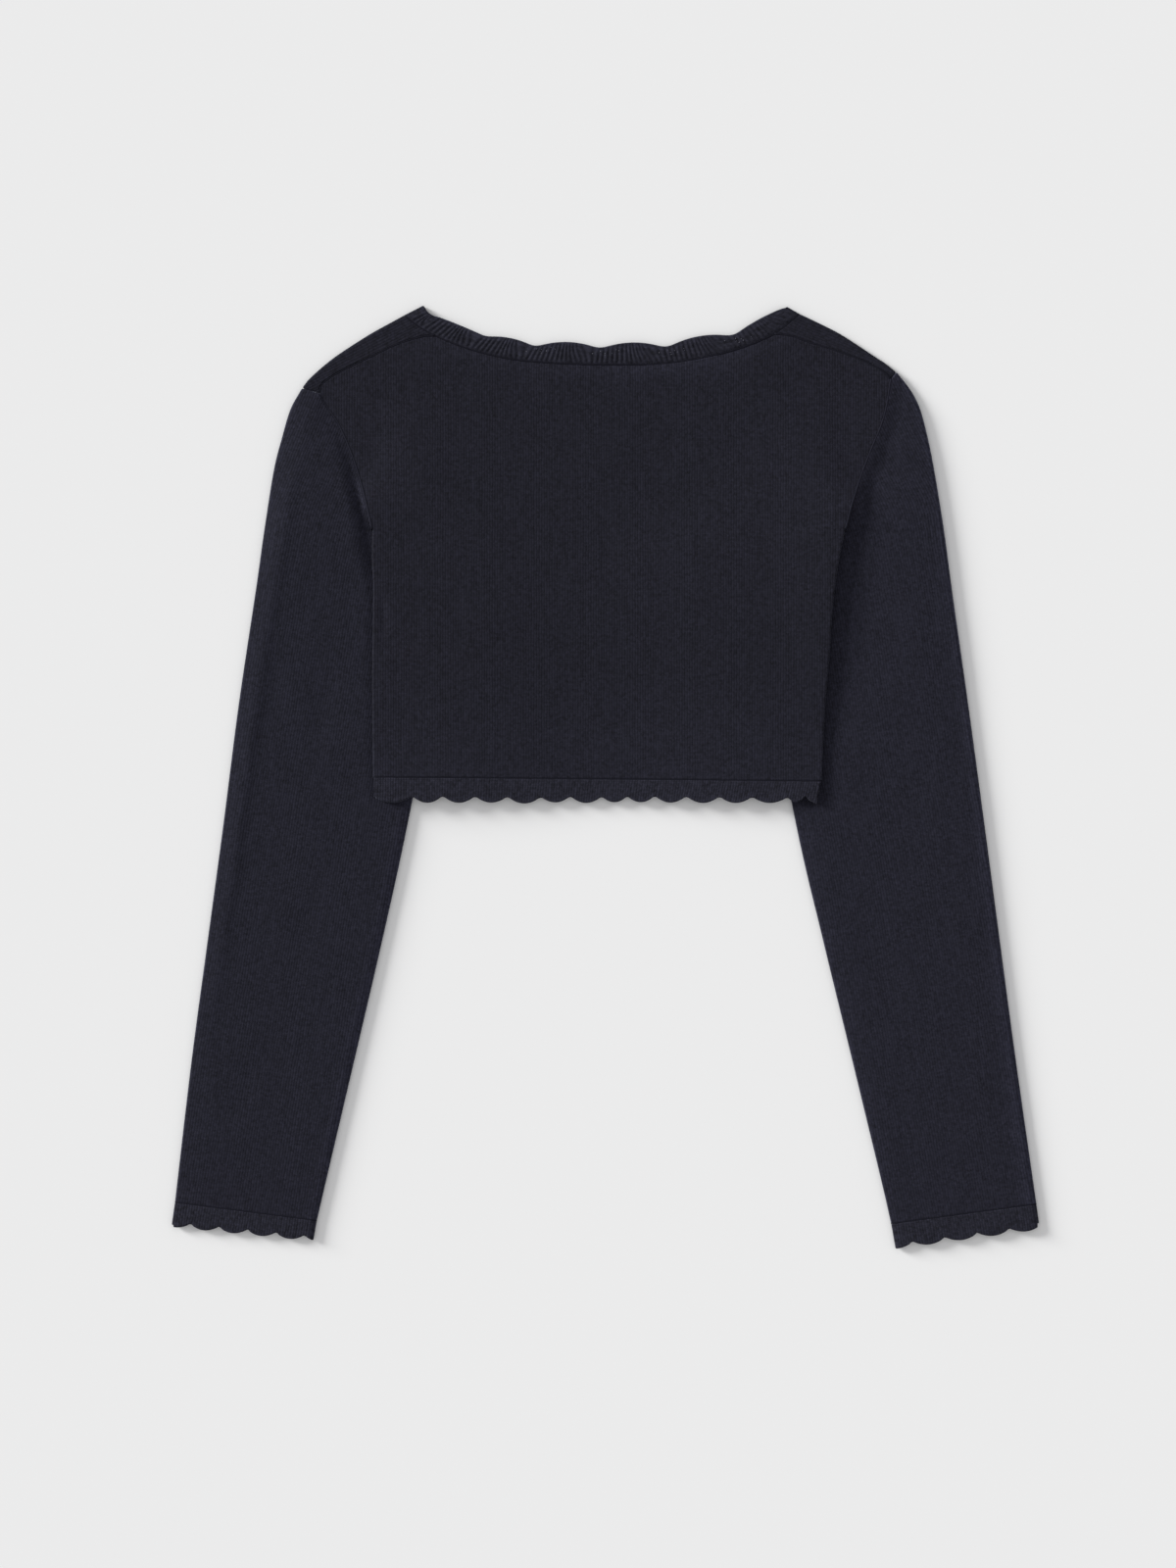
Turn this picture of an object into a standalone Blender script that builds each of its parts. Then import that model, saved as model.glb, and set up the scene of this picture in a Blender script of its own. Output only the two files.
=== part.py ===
"""A cropped knitted cardigan, laid flat on its front with the sleeves swung down.

Sizes are in millimetres in the garment's own frame: +X to the wearer's right,
+Y towards the neck, +Z up from the surface it lies on, out of the garment's back.
A piece of cloth is drawn as rows of points on its wall's middle surface, and a
Solidify modifier gives the wall its thickness. Layers are stacked at a fixed
pitch; where a sleeve is tucked under the body's side, both body panels ride up
over its two layers.
"""
import math

import bpy
import numpy as np

MM = 0.001

# ---- cloth and stacking
WALL = 1.2              # thickness of the knit
GAP = 0.3               # clear space at seams and between layers
PITCH = WALL + GAP      # from one layer's middle to the next
FLOOR_LAYER = WALL / 2  # middle height of a layer lying on the surface
TOP_LAYER = FLOOR_LAYER + PITCH
FOLD_RADIUS = PITCH / 2             # middle surface of a fold between two layers
FOLD_CENTRE = FLOOR_LAYER + FOLD_RADIUS
FOLD_INSET = FOLD_RADIUS + WALL / 2  # from a folded edge's outline to the fold's centre
FOLD_STEPS = 4

# ---- how the body rides over the tucked sleeves
TUCK_RISE = 2 * PITCH   # two sleeve layers
TUCK_MARGIN = 8.0       # full height is kept this far past the sleeve's edge
FRONT_RAMP = 24.0
BACK_RAMP_AT_SEAM = 40.0
BACK_RAMP_INSIDE = 70.0
SEAM_BLEND = 40.0       # how far from the armhole the back's slope widens
SAG_RAMP = 40.0         # the back sinks to the surface between the two fronts

# ---- sleeves
SLEEVE_PUFF = 3.0       # how far the upper layer stands off the lower one
PUFF_FULLNESS = 0.6     # power of the sine across the sleeve; less is flatter on top
PUFF_GROWTH = 1 / 3     # share of the sleeve's length over which the cuff end fills out
PUFF_CLEAR = 6.0        # flat this far from the body's edge
SLEEVE_RISE = {"left": 26.0, "right": 34.0}
CUFF_PUFF = 0.55        # share of the puff left at the cuff
DIVE = 25.0             # the sleeve dives under the body over this stretch above the underarm
SEAM_LIFT_WIDTH = 12.0

# ---- grid counts
SIDE_STEPS = 10
ARMHOLE_STEPS = 7
UNDERARM_STEPS = 4
SHOULDER_STEPS = 9
STRIP_STEPS = 3
NECK_STEPS = 16
SLEEVE_STEPS = 15
LOBE_STEPS = 5
HEM_ROWS = 2
CUFF_ROWS = 2
NECK_LOBE_STEPS = 24
CURVE_STEPS = 8         # points on a smooth line for each one given
STRAIGHT = 0.02         # sine of a turn small enough to count as straight on
SHARP_ANGLE = 50.0      # degrees; folds and rims beyond this are shaded as edges

# ---- neck band
NECK_RIBS = 82
RIB_HEIGHT = 0.5
NECK_BAND_ROWS = (0.0, 0.14, 0.86, 1.0)
FRONT_BAND_WIDTH = 11.0
FRONT_BAND_LOBES = 9
FRONT_BAND_RISE = 3.0
BAND_STEPS_PER_ROW = 2
BAND_START = 0.1        # share of a front band in which it leaves the shoulder tip's line
BAND_LOOK = 0.03        # share each way over which a front band's direction is taken
NECK_SEAM_GAP = 0.25    # the panels' side of the neck seam, a little more on its curve

# ---- cuffs
CUFF_LOBE_DROP = 2.8

# ---- outline of the neck: seam between band and panels, left to right (x, y)
NECK_SEAM = (
    (-113.9, 260.9), (-106.0, 254.6), (-96.7, 249.4), (-84.4, 244.2), (-71.1, 239.9),
    (-52.8, 235.9), (-35.6, 234.2), (-14.4, 233.1), (5.0, 232.8), (25.0, 233.0),
    (43.3, 234.6), (61.7, 238.2), (76.7, 242.3), (90.6, 247.8), (99.5, 252.9), (110.0, 261.4),
)
NECK_LEFT_X = -96.7     # where the left shoulder seam meets the band
NECK_RIGHT_X = 95.6     # and the right one

# ---- free edge of the neck band: each lobe's far end and how far it bulges
NECK_TIP = (-103.3, 266.4)
NECK_LOBES = (
    # end_x, end_y, bulge
    (-94.4, 259.7, -1.6),
    (-67.8, 248.6, 0.3),
    (-40.0, 242.8, 2.1),
    (-3.3, 241.7, 3.4),
    (34.4, 242.2, 3.4),
    (72.2, 248.9, 3.4),
    (102.8, 265.6, 1.4),
)

# ---- the hem: seam line, then each lobe's far end and how far it bulges down
HEM_SEAM = ((-131.7, -0.8), (-5.0, -1.8), (122.2, -3.1))
HEM_START = (-131.7, -12.0)
HEM_LOBES = (
    # end_x, end_y, bulge
    (-109.4, -12.2, 2.4),
    (-92.2, -12.0, 3.9),
    (-73.9, -12.2, 3.9),
    (-55.6, -12.4, 3.6),
    (-36.7, -12.6, 3.9),
    (-20.0, -12.2, 3.4),
    (-2.2, -12.4, 3.8),
    (12.2, -12.2, 3.4),
    (27.8, -12.0, 3.6),
    (45.6, -12.2, 3.8),
    (64.4, -12.4, 3.8),
    (82.8, -12.6, 3.6),
    (102.8, -12.8, 3.4),
    (112.8, -12.0, 3.2),
    (119.6, -16.6, 0.6),
)
FRONT_HEM_SHORTER = 0.9  # the fronts' lobes stop short of the back's
PEEPING_LOBE_DROP = 3.2  # but the outermost left one shows below the back
LEAST_LOBE = 2.0         # a front's hem starts with a lobe at least this wide
RIGHT_HEM_DRAWN_IN = 6.0  # the right front's hem seam ends short of the back's

# ---- the two sides; every path is a list of (x, y)
SIDES = {
    "left": {
        "sign": -1,
        "outer_edge": (  # sleeve's folded edge, cuff seam to shoulder point
            (-244.0, -241.5), (-234.5, -160.5), (-225.5, -93.5), (-216.5, -27.0),
            (-208.0, 39.5), (-198.0, 106.5), (-193.3, 139.7), (-188.0, 173.0),
            (-183.5, 191.0), (-178.6, 207.5), (-172.0, 219.5),
        ),
        "inner_edge": (  # the other fold, cuff seam to underarm
            (-163.6, -251.9), (-157.8, -227.0), (-142.2, -160.3), (-126.7, -93.6),
            (-112.2, -26.9), (-90.6, 84.2),
        ),
        "cap": ((-172.0, 219.5), (-162.0, 216.8)),
        "armhole": (     # cap's end to where the seam goes under the body
            (-162.0, 216.8), (-159.2, 211.0), (-151.3, 199.2), (-143.9, 182.5),
            (-138.3, 165.3), (-134.2, 149.0), (-132.2, 139.7),
        ),
        "body_edge": (
            (-132.2, 139.7), (-132.4, 122.5), (-131.7, 104.2), (-132.2, 51.4),
            (-131.7, -0.8),
        ),
        "shoulder_fold": (  # neck to shoulder point, along the outline
            (-113.9, 260.9), (-120.0, 257.5), (-132.2, 250.8), (-142.8, 244.2),
            (-152.8, 237.5), (-161.1, 230.9), (-168.3, 224.2), (-172.0, 219.5),
        ),
        "shoulder_seam": (  # neck band to the cap
            (-96.7, 249.4), (-104.4, 248.6), (-118.3, 244.2), (-131.1, 238.1),
            (-143.9, 231.9), (-155.0, 226.0), (-160.6, 221.6), (-162.0, 216.8),
        ),
        "front_edge": (     # seam between front panel and its band
            (-97.0, 222.0), (-70.0, 172.0), (-40.0, 122.0), (-20.5, 80.0), (-14.5, 42.0),
            (-14.5, -1.7),
        ),
        "hem_bottom": (-119.0, -17.0),
        "cuff_free": ((-245.6, -252.6), (-165.2, -260.6)),
        "cuff_lobes": 10,
        "first_valley": 10.6,  # from the outer fold to the first dip, along the cuff
    },
    "right": {
        "sign": 1,
        "outer_edge": (
            (244.0, -242.5), (232.3, -160.5), (223.3, -93.5), (214.5, -27.0),
            (205.5, 39.5), (196.0, 106.5), (191.5, 139.7), (186.0, 173.0),
            (182.5, 190.5), (178.0, 207.5), (172.8, 218.0), (164.5, 228.6),
        ),
        "inner_edge": (
            (161.7, -253.6), (155.6, -227.0), (139.5, -160.3), (123.3, -93.6),
            (107.8, -26.9), (87.2, 84.2),
        ),
        "cap": ((164.5, 228.6), (161.4, 224.6)),
        "armhole": (
            (161.4, 224.6), (160.3, 217.5), (158.6, 207.5), (155.6, 197.5), (150.2, 184.5),
            (144.6, 170.0), (139.0, 153.0), (135.6, 139.7),
        ),
        "body_edge": (
            (135.6, 139.7), (131.9, 121.0), (128.9, 99.7), (126.7, 68.6), (124.3, 40.0),
            (122.2, -3.1),
        ),
        "shoulder_fold": (
            (110.0, 261.4), (118.3, 257.5), (131.7, 250.8), (142.2, 244.2),
            (152.2, 237.5), (158.6, 233.4), (164.5, 228.6),
        ),
        "shoulder_seam": (
            (95.6, 250.4), (105.6, 248.9), (113.9, 245.8), (125.0, 242.5), (132.2, 240.0),
            (145.6, 235.0), (156.0, 229.6), (161.4, 224.6),
        ),
        "front_edge": (
            (97.0, 222.0), (73.0, 172.0), (46.0, 122.0), (28.5, 80.0), (23.2, 42.0),
            (23.2, -2.0),
        ),
        "hem_bottom": (118.0, -17.0),
        "cuff_free": ((245.6, -254.0), (163.8, -265.0)),
        "cuff_lobes": 9,
        "first_valley": 17.2,
    },
}

# ---- the largest soft folds of the sleeves, across (0 outer, 1 inner) and along (0 cuff)
SLEEVE_FOLDS = (
    # side, across, half_width, along_from, along_to, depth
    ("left", 0.17, 0.09, 0.26, 0.72, 1.3),
    ("right", 0.16, 0.10, 0.50, 0.90, 0.7),
    ("left", 0.62, 0.12, 0.05, 0.30, 0.6),
)

NAVY = (0.0168, 0.0173, 0.0252, 1.0)      # body and sleeves
NAVY_RIB = (0.0212, 0.0212, 0.0296, 1.0)  # bands and cuffs catch a little more light
KNIT_ROUGHNESS = 0.95


# ------------------------------------------------------------------ paths in plan
def unit(vector):
    return vector / np.linalg.norm(vector)


class Path:
    """A smooth line through points, read by its share of length."""

    def __init__(self, points, smooth=True):
        points = [np.array(p, float) for p in points]
        if smooth and len(points) > 2:
            points = catmull_rom(points)
        self.points = np.array(points)
        steps = np.linalg.norm(np.diff(self.points, axis=0), axis=1)
        self.reach = np.concatenate([[0.0], np.cumsum(steps)])
        self.length = self.reach[-1]

    def at(self, share):
        far = share * self.length
        return np.array([np.interp(far, self.reach, self.points[:, k]) for k in (0, 1)])

    def at_x(self, x):
        order = 1 if self.points[-1, 0] > self.points[0, 0] else -1
        return np.array([x, np.interp(x, self.points[::order, 0], self.points[::order, 1])])

    def share_of_x(self, x):
        order = 1 if self.points[-1, 0] > self.points[0, 0] else -1
        return float(np.interp(x, self.points[::order, 0], self.reach[::order])) / self.length

    def sampled(self, steps):
        return [self.at(k / steps) for k in range(steps + 1)]


def by_count(points, share):
    """Point at a share of a row of points, each step counting alike."""
    place = min(share * (len(points) - 1), len(points) - 1 - 1e-9)
    k = int(place)
    return points[k] + (points[k + 1] - points[k]) * (place - k)


def joined(*lines):
    """Rows of points end to end, with the shared ends once."""
    whole = list(lines[0])
    for line in lines[1:]:
        whole += list(line[1:])
    return whole


def inset_loop(points, gaps):
    """A closed loop drawn in by its own gap along each edge."""
    area = sum(a[0] * b[1] - a[1] * b[0] for a, b in zip(points, points[1:] + points[:1]))
    inward = 1 if area > 0 else -1
    moved = []
    for k, point in enumerate(points):
        before = unit(point - points[k - 1])
        after = unit(points[(k + 1) % len(points)] - point)
        normal_a = np.array([-before[1], before[0]]) * inward
        normal_b = np.array([-after[1], after[0]]) * inward
        turn = before[0] * after[1] - before[1] * after[0]
        if abs(turn) < STRAIGHT:
            moved.append(point + (normal_a * gaps[k - 1] + normal_b * gaps[k]) / 2)
        else:
            moved.append(point + np.linalg.solve(np.array([normal_a, normal_b]),
                                                 np.array([gaps[k - 1], gaps[k]])))
    return moved


def patch(near, side_b, far, side_a, gaps):
    """Grid between four rows of points, each edge drawn in by its gap.

    near and far run the same way, side_a joins their first points, side_b their last.
    """
    lines = [list(near), list(side_b), list(far)[::-1], list(side_a)[::-1]]
    loop, edge_gaps, starts = [], [], []
    for line, gap in zip(lines, gaps):
        starts.append(len(loop))
        loop += line[:-1]
        edge_gaps += [gap] * (len(line) - 1)
    loop = inset_loop(loop, edge_gaps)
    near, side_b, far, side_a = [
        [loop[(start + k) % len(loop)] for k in range(len(line))]
        for start, line in zip(starts, lines)]
    far, side_a = far[::-1], side_a[::-1]
    columns, rows = len(near) - 1, len(side_a) - 1
    return [[coons(near, far, side_a, side_b, c / columns, r / rows)
             for c in range(columns + 1)] for r in range(rows + 1)]


def catmull_rom(points):
    """Points of a Catmull-Rom curve through the given ones."""
    ends = [2 * points[0] - points[1]] + points + [2 * points[-1] - points[-2]]
    line = []
    for a, b, c, d in zip(ends, ends[1:], ends[2:], ends[3:]):
        for k in range(CURVE_STEPS):
            t = k / CURVE_STEPS
            line.append(0.5 * (2 * b + (c - a) * t + (2 * a - 5 * b + 4 * c - d) * t ** 2
                               + (3 * b - a - 3 * c + d) * t ** 3))
    return line + [points[-1]]


def coons(near, far, side_a, side_b, u, v):
    """Surface between four rows of points: near and far run with u, the sides with v."""
    across = (1 - v) * by_count(near, u) + v * by_count(far, u)
    along = (1 - u) * by_count(side_a, v) + u * by_count(side_b, v)
    corners = ((1 - v) * ((1 - u) * near[0] + u * near[-1])
               + v * ((1 - u) * far[0] + u * far[-1]))
    return across + along - corners


def lobed_edge(start, lobes):
    """Share -> point on an edge of lobes; each has an equal share of the whole."""
    ends = [np.array(start, float)] + [np.array(row[:2], float) for row in lobes]

    def at(share, outward):
        place = min(share * len(lobes), len(lobes) - 1e-9)
        k = int(place)
        t = place - k
        a, b = ends[k], ends[k + 1]
        normal = np.array([a[1] - b[1], b[0] - a[0]]) / np.linalg.norm(b - a)
        return a + (b - a) * t + normal * outward * lobes[k][2] * 4 * t * (1 - t)
    return at


# ------------------------------------------------------------------ heights
def smooth_step(x):
    x = np.clip(x, 0.0, 1.0)
    return float(x * x * (3 - 2 * x))


def distance_to_line(point, line):
    """Shortest way from a point to a line of points."""
    a, b = line[:-1], line[1:]
    run = b - a
    share = np.sum((point - a) * run, axis=1) / np.maximum(np.sum(run * run, axis=1), 1e-9)
    nearest = a + run * np.clip(share, 0, 1)[:, None]
    return float(np.min(np.linalg.norm(nearest - point, axis=1)))


def inside(point, loop):
    """Whether a point lies in a closed loop of points."""
    a, b = loop, np.roll(loop, -1, axis=0)
    crosses = (a[:, 1] > point[1]) != (b[:, 1] > point[1])
    rise = np.where(b[:, 1] == a[:, 1], 1e-9, b[:, 1] - a[:, 1])
    meets = a[:, 0] + (point[1] - a[:, 1]) * (b[:, 0] - a[:, 0]) / rise
    return bool(np.sum(crosses & (meets > point[0])) % 2)


def distance_to_region(point, loop):
    return 0.0 if inside(point, loop) else distance_to_line(point, np.vstack([loop, loop[:1]]))


def prepare(side):
    """Work out one side's smooth paths and the regions that set its heights."""
    d = SIDES[side]
    paths = {key: Path(d[key]) for key in ("outer_edge", "inner_edge", "cap", "armhole",
                                           "body_edge", "shoulder_fold", "shoulder_seam")}
    paths["underarm"] = Path([d["armhole"][-1], d["inner_edge"][-1]])
    inner_at_hem = np.array([np.interp(d["hem_bottom"][1], [p[1] for p in d["inner_edge"]],
                                       [p[0] for p in d["inner_edge"]]), d["hem_bottom"][1]])
    edge = paths["body_edge"].points
    paths["tuck"] = np.vstack([edge, [[edge[-1][0], d["hem_bottom"][1]]], [inner_at_hem],
                               [d["inner_edge"][-1]]])
    paths["body"] = np.vstack([paths["cap"].points, paths["armhole"].points, edge,
                               [[edge[-1][0], d["hem_bottom"][1]]], [[0, d["hem_bottom"][1]]],
                               [[0, d["cap"][0][1]]]])
    return paths


PLAN = {side: prepare(side) for side in SIDES}


def tuck_distance(point, side):
    return distance_to_region(point, PLAN[side]["tuck"]) - TUCK_MARGIN


def front_height(point, side):
    return FLOOR_LAYER + TUCK_RISE * smooth_step(1 - tuck_distance(point, side) / FRONT_RAMP)


def back_rise(point):
    """How far the back stands above its usual layer over the tucked sleeves."""
    side = "left" if point[0] < 0 else "right"
    from_seam = distance_to_line(point, PLAN[side]["armhole"].points)
    ramp = BACK_RAMP_AT_SEAM + (BACK_RAMP_INSIDE - BACK_RAMP_AT_SEAM) * smooth_step(
        from_seam / SEAM_BLEND)
    return TUCK_RISE * smooth_step(1 - tuck_distance(point, side) / ramp)


def back_height(point):
    sag = 0.0
    if inside(point, OPENING):
        gap = min(distance_to_line(point, line) for line in FRONT_FREE_EDGES)
        sag = PITCH * smooth_step(gap / SAG_RAMP)
    return TOP_LAYER + back_rise(point) - sag


def sleeve_height(point, side, across, along):
    """Middle height of a sleeve's upper layer."""
    plan = PLAN[side]
    from_body = distance_to_region(point, plan["body"])
    puff = SLEEVE_PUFF * math.sin(math.pi * across) ** PUFF_FULLNESS
    puff *= smooth_step((from_body - PUFF_CLEAR) / SLEEVE_RISE[side])
    puff *= CUFF_PUFF + (1 - CUFF_PUFF) * smooth_step(along / PUFF_GROWTH)
    for fold_side, middle, half_width, start, end, depth in SLEEVE_FOLDS:
        if fold_side == side and start < along < end:
            run = math.sin(math.pi * (along - start) / (end - start))
            puff -= depth * run * math.exp(-((across - middle) / half_width) ** 2)
    above_underarm = point[1] - plan["armhole"].points[-1][1]
    lift = back_rise(point) * smooth_step(above_underarm / DIVE)
    lift *= smooth_step(1 - from_body / SEAM_LIFT_WIDTH)
    return TOP_LAYER + max(puff, lift, 0.0)


# ------------------------------------------------------------------ building walls
def raise_to(point, height):
    return np.array([point[0], point[1], height])


def folded(outline_point, direction, top_to_bottom=True):
    """Middle points of a fold that rolls a layer from the top one to the floor one."""
    centre = outline_point - direction * FOLD_INSET
    ring = []
    for k in range(FOLD_STEPS + 1):
        turn = math.pi / 2 - math.pi * k / FOLD_STEPS
        flat = centre + direction * FOLD_RADIUS * math.cos(turn)
        ring.append(raise_to(flat, FOLD_CENTRE + FOLD_RADIUS * math.sin(turn)))
    return ring if top_to_bottom else ring[::-1]


def knit_material(name, colour):
    material = bpy.data.materials.new(name)
    material.use_nodes = True
    shader = material.node_tree.nodes["Principled BSDF"]
    shader.inputs["Base Color"].default_value = colour
    shader.inputs["Roughness"].default_value = KNIT_ROUGHNESS
    shader.inputs["Metallic"].default_value = 0.0
    material.diffuse_color = colour
    return material


def add_piece(name, vertices, faces, colour, thickened):
    """One piece of cloth as an object in the garment's collection."""
    mesh = bpy.data.meshes.new(name)
    mesh.from_pydata([tuple(v * MM) for v in vertices], [], faces)
    mesh.validate()
    mesh.shade_smooth()
    mesh.set_sharp_from_angle(angle=math.radians(SHARP_ANGLE))
    piece = bpy.data.objects.new(name, mesh)
    mesh.materials.append(knit_material(name, colour))
    COLLECTION.objects.link(piece)
    if thickened:
        wall = piece.modifiers.new("wall", "SOLIDIFY")
        wall.thickness = WALL * MM
        wall.offset = 0.0
        wall.use_even_offset = True
    return piece


def skin(rows, closed, start=0, flip=False):
    """Faces between rows of points numbered in order."""
    width = len(rows[0])
    last = width if closed else width - 1
    faces = []
    for r in range(len(rows) - 1):
        for c in range(last):
            a, b = start + r * width + c, start + r * width + (c + 1) % width
            face = (a, b, b + width, a + width)
            faces.append(face[::-1] if flip else face)
    return faces


def sheet(name, rows, colour, closed=False):
    """A wall whose middle surface runs through rows of points."""
    return add_piece(name, [p for row in rows for p in row], skin(rows, closed), colour, True)


def ribbed_wall(name, rows, raised, colour):
    """A closed wall with ribs on its outer points over a plain inside."""
    grid = np.array(rows)
    along = np.gradient(grid, axis=0)
    across = np.gradient(grid, axis=1)
    normal = np.cross(along, across)
    normal /= np.linalg.norm(normal, axis=2)[:, :, None]
    outer = grid + normal * (WALL / 2 + np.array(raised)[:, :, None])
    inner = grid - normal * WALL / 2
    count = grid.shape[0] * grid.shape[1]
    width, height = grid.shape[1], grid.shape[0]
    faces = skin(rows, False, flip=True) + skin(rows, False, start=count)
    rim = list(range(width))
    rim += [r * width + width - 1 for r in range(1, height)]
    rim += [(height - 1) * width + c for c in range(width - 2, -1, -1)]
    rim += [r * width for r in range(height - 2, 0, -1)]
    for a, b in zip(rim, rim[1:] + rim[:1]):
        faces.append((a, b, b + count, a + count))
    vertices = list(outer.reshape(-1, 3)) + list(inner.reshape(-1, 3))
    return add_piece(name, vertices, faces, colour, False)


# ------------------------------------------------------------------ shared seams
NECK = Path(NECK_SEAM)
HEM = Path(HEM_SEAM)
HALF_GAP = GAP / 2


def neck_stretch(start_x, end_x, steps):
    """Points along the neck seam between two places across."""
    start, end = NECK.share_of_x(start_x), NECK.share_of_x(end_x)
    return [NECK.at(start + (end - start) * k / steps) for k in range(steps + 1)]


def seam_points(side):
    """Points that the pieces on each side of a seam share, before they are drawn in."""
    plan = PLAN[side]
    neck_x = NECK_LEFT_X if side == "left" else NECK_RIGHT_X
    shoulder = [NECK.at_x(neck_x)] + plan["shoulder_seam"].sampled(SHOULDER_STEPS)[1:]
    return {
        "armhole": plan["armhole"].sampled(ARMHOLE_STEPS),
        "underarm": plan["underarm"].sampled(UNDERARM_STEPS),
        "body_edge": plan["body_edge"].sampled(SIDE_STEPS),
        "shoulder_seam": shoulder,
        "shoulder_fold": plan["shoulder_fold"].sampled(SHOULDER_STEPS),
        "neck_part": neck_stretch(neck_x, plan["shoulder_fold"].at(0)[0], STRIP_STEPS),
    }


SEAMS = {side: seam_points(side) for side in SIDES}


def fold_centre_at_neck(side):
    """Middle of the shoulder fold at the neck seam, on the seam's own run."""
    last, before = SEAMS[side]["neck_part"][-1], SEAMS[side]["neck_part"][-2]
    return last - unit(last - before) * FOLD_INSET


def fold_centre_at_cap(side):
    point, inner = PLAN[side]["cap"].at(0), PLAN[side]["cap"].at(1)
    return point - unit(point - inner) * FOLD_INSET


UNDER_ROWS = 1 + ARMHOLE_STEPS + SIDE_STEPS
BAND_STEPS = UNDER_ROWS * BAND_STEPS_PER_ROW


def front_edge_points(side):
    """Seam between a front and its band, from under the shoulder fold to the hem."""
    path = Path([fold_centre_at_neck(side)] + list(SIDES[side]["front_edge"]))
    return path.sampled(UNDER_ROWS)


FRONT_SEAM = {side: front_edge_points(side) for side in SIDES}


def front_free_point(side, share):
    """Free edge of a front band, lobed, from the shoulder tip to the hem."""
    seam, sign = FRONT_SEAM[side], SIDES[side]["sign"]
    ahead, behind = min(share + BAND_LOOK, 1.0), max(share - BAND_LOOK, 0.0)
    run = unit(by_count(seam, ahead) - by_count(seam, behind))
    inward = np.array([run[1], -run[0]]) * sign
    place = share * FRONT_BAND_LOBES
    t = place - int(place)
    return by_count(seam, share) + inward * (FRONT_BAND_WIDTH + FRONT_BAND_RISE * 4 * t * (1 - t))


FRONT_FREE_EDGES = [np.array([front_free_point(side, k / BAND_STEPS)
                              for k in range(BAND_STEPS + 1)]) for side in SIDES]
OPENING = np.vstack([FRONT_FREE_EDGES[0], FRONT_FREE_EDGES[1][::-1]])


# ------------------------------------------------------------------ the pieces
def make_back():
    left, right = SEAMS["left"], SEAMS["right"]
    sides = [joined(part["body_edge"][::-1], part["armhole"][::-1]) for part in (left, right)]
    neck = neck_stretch(NECK_LEFT_X, NECK_RIGHT_X, NECK_STEPS)
    top = joined(left["shoulder_seam"][::-1], neck, right["shoulder_seam"])
    hem = HEM.sampled(len(top) - 1)
    grid = patch(hem, sides[1], top, sides[0], (HALF_GAP, HALF_GAP, NECK_SEAM_GAP, HALF_GAP))
    sheet("back", [[raise_to(p, back_height(p)) for p in row] for row in grid], NAVY)


def make_front(side):
    """Front panel: strip behind the shoulder, the fold, then the layer underneath."""
    seams, plan = SEAMS[side], PLAN[side]
    cap = plan["cap"].sampled(STRIP_STEPS)[::-1]
    strip = patch(seams["shoulder_seam"], cap, seams["shoulder_fold"], seams["neck_part"],
                  (HALF_GAP, HALF_GAP, 0.0, NECK_SEAM_GAP))
    columns = range(SHOULDER_STEPS + 1)
    outwards = [unit(strip[-1][c] - strip[-2][c]) for c in columns]
    rows = []
    for r in range(STRIP_STEPS):
        drawn_in = FOLD_INSET * r / STRIP_STEPS
        rows.append([raise_to(strip[r][c] - outwards[c] * drawn_in, TOP_LAYER) for c in columns])
    rings = [folded(strip[-1][c], outwards[c]) for c in columns]
    rows += [[ring[k] for ring in rings] for k in range(FOLD_STEPS + 1)]

    centres = [ring[-1][:2] for ring in rings]
    centres[0], centres[-1] = fold_centre_at_neck(side), fold_centre_at_cap(side)
    arm_side = joined([centres[-1], plan["cap"].at(1)], seams["armhole"], seams["body_edge"])
    start, end = FRONT_SEAM[side][-1], seams["body_edge"][-1]
    hem = [HEM.at_x(start[0] + (end[0] - start[0]) * c / SHOULDER_STEPS) for c in columns]
    band_side = FRONT_SEAM[side][:-1] + [hem[0]]
    under = patch(centres, arm_side, hem, band_side, (0.0, HALF_GAP, HALF_GAP, HALF_GAP))
    rows += [[raise_to(p, front_height(p, side)) for p in row] for row in under[1:]]
    sheet("front_" + side, rows, NAVY)


def sleeve_ring(points, heights):
    """A closed ring: across the top, round one fold, back underneath, round the other."""
    start, end = points[0], points[-1]
    out_a, out_b = unit(start - points[1]), unit(end - points[-2])
    plan = [start - out_a * FOLD_INSET] + list(points[1:-1]) + [end - out_b * FOLD_INSET]
    ring = [raise_to(p, h) for p, h in zip(plan, heights)]
    ring += folded(end, out_b)[1:-1]
    ring += [raise_to(p, FLOOR_LAYER) for p in plan[::-1]]
    ring += folded(start, out_a, top_to_bottom=False)[1:-1]
    return ring


def make_sleeve(side):
    plan, seams, sign = PLAN[side], SEAMS[side], SIDES[side]["sign"]
    arm = joined([plan["cap"].at(0), plan["cap"].at(1)], seams["armhole"], seams["underarm"])
    across = len(arm) - 1
    outer, inner = (plan[key].sampled(SLEEVE_STEPS) for key in ("outer_edge", "inner_edge"))
    cuff = Path([outer[0], inner[0]]).sampled(across)
    grid = patch(cuff, inner, arm, outer, (HALF_GAP, 0.0, HALF_GAP, 0.0))
    rings = []
    for r, line in enumerate(grid):
        along = r / SLEEVE_STEPS
        heights = [sleeve_height(p, side, c / across, along) for c, p in enumerate(line)]
        rings.append(sleeve_ring(line, heights))
    sheet("sleeve_" + side, [ring[::-sign] for ring in rings], NAVY, closed=True)


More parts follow.
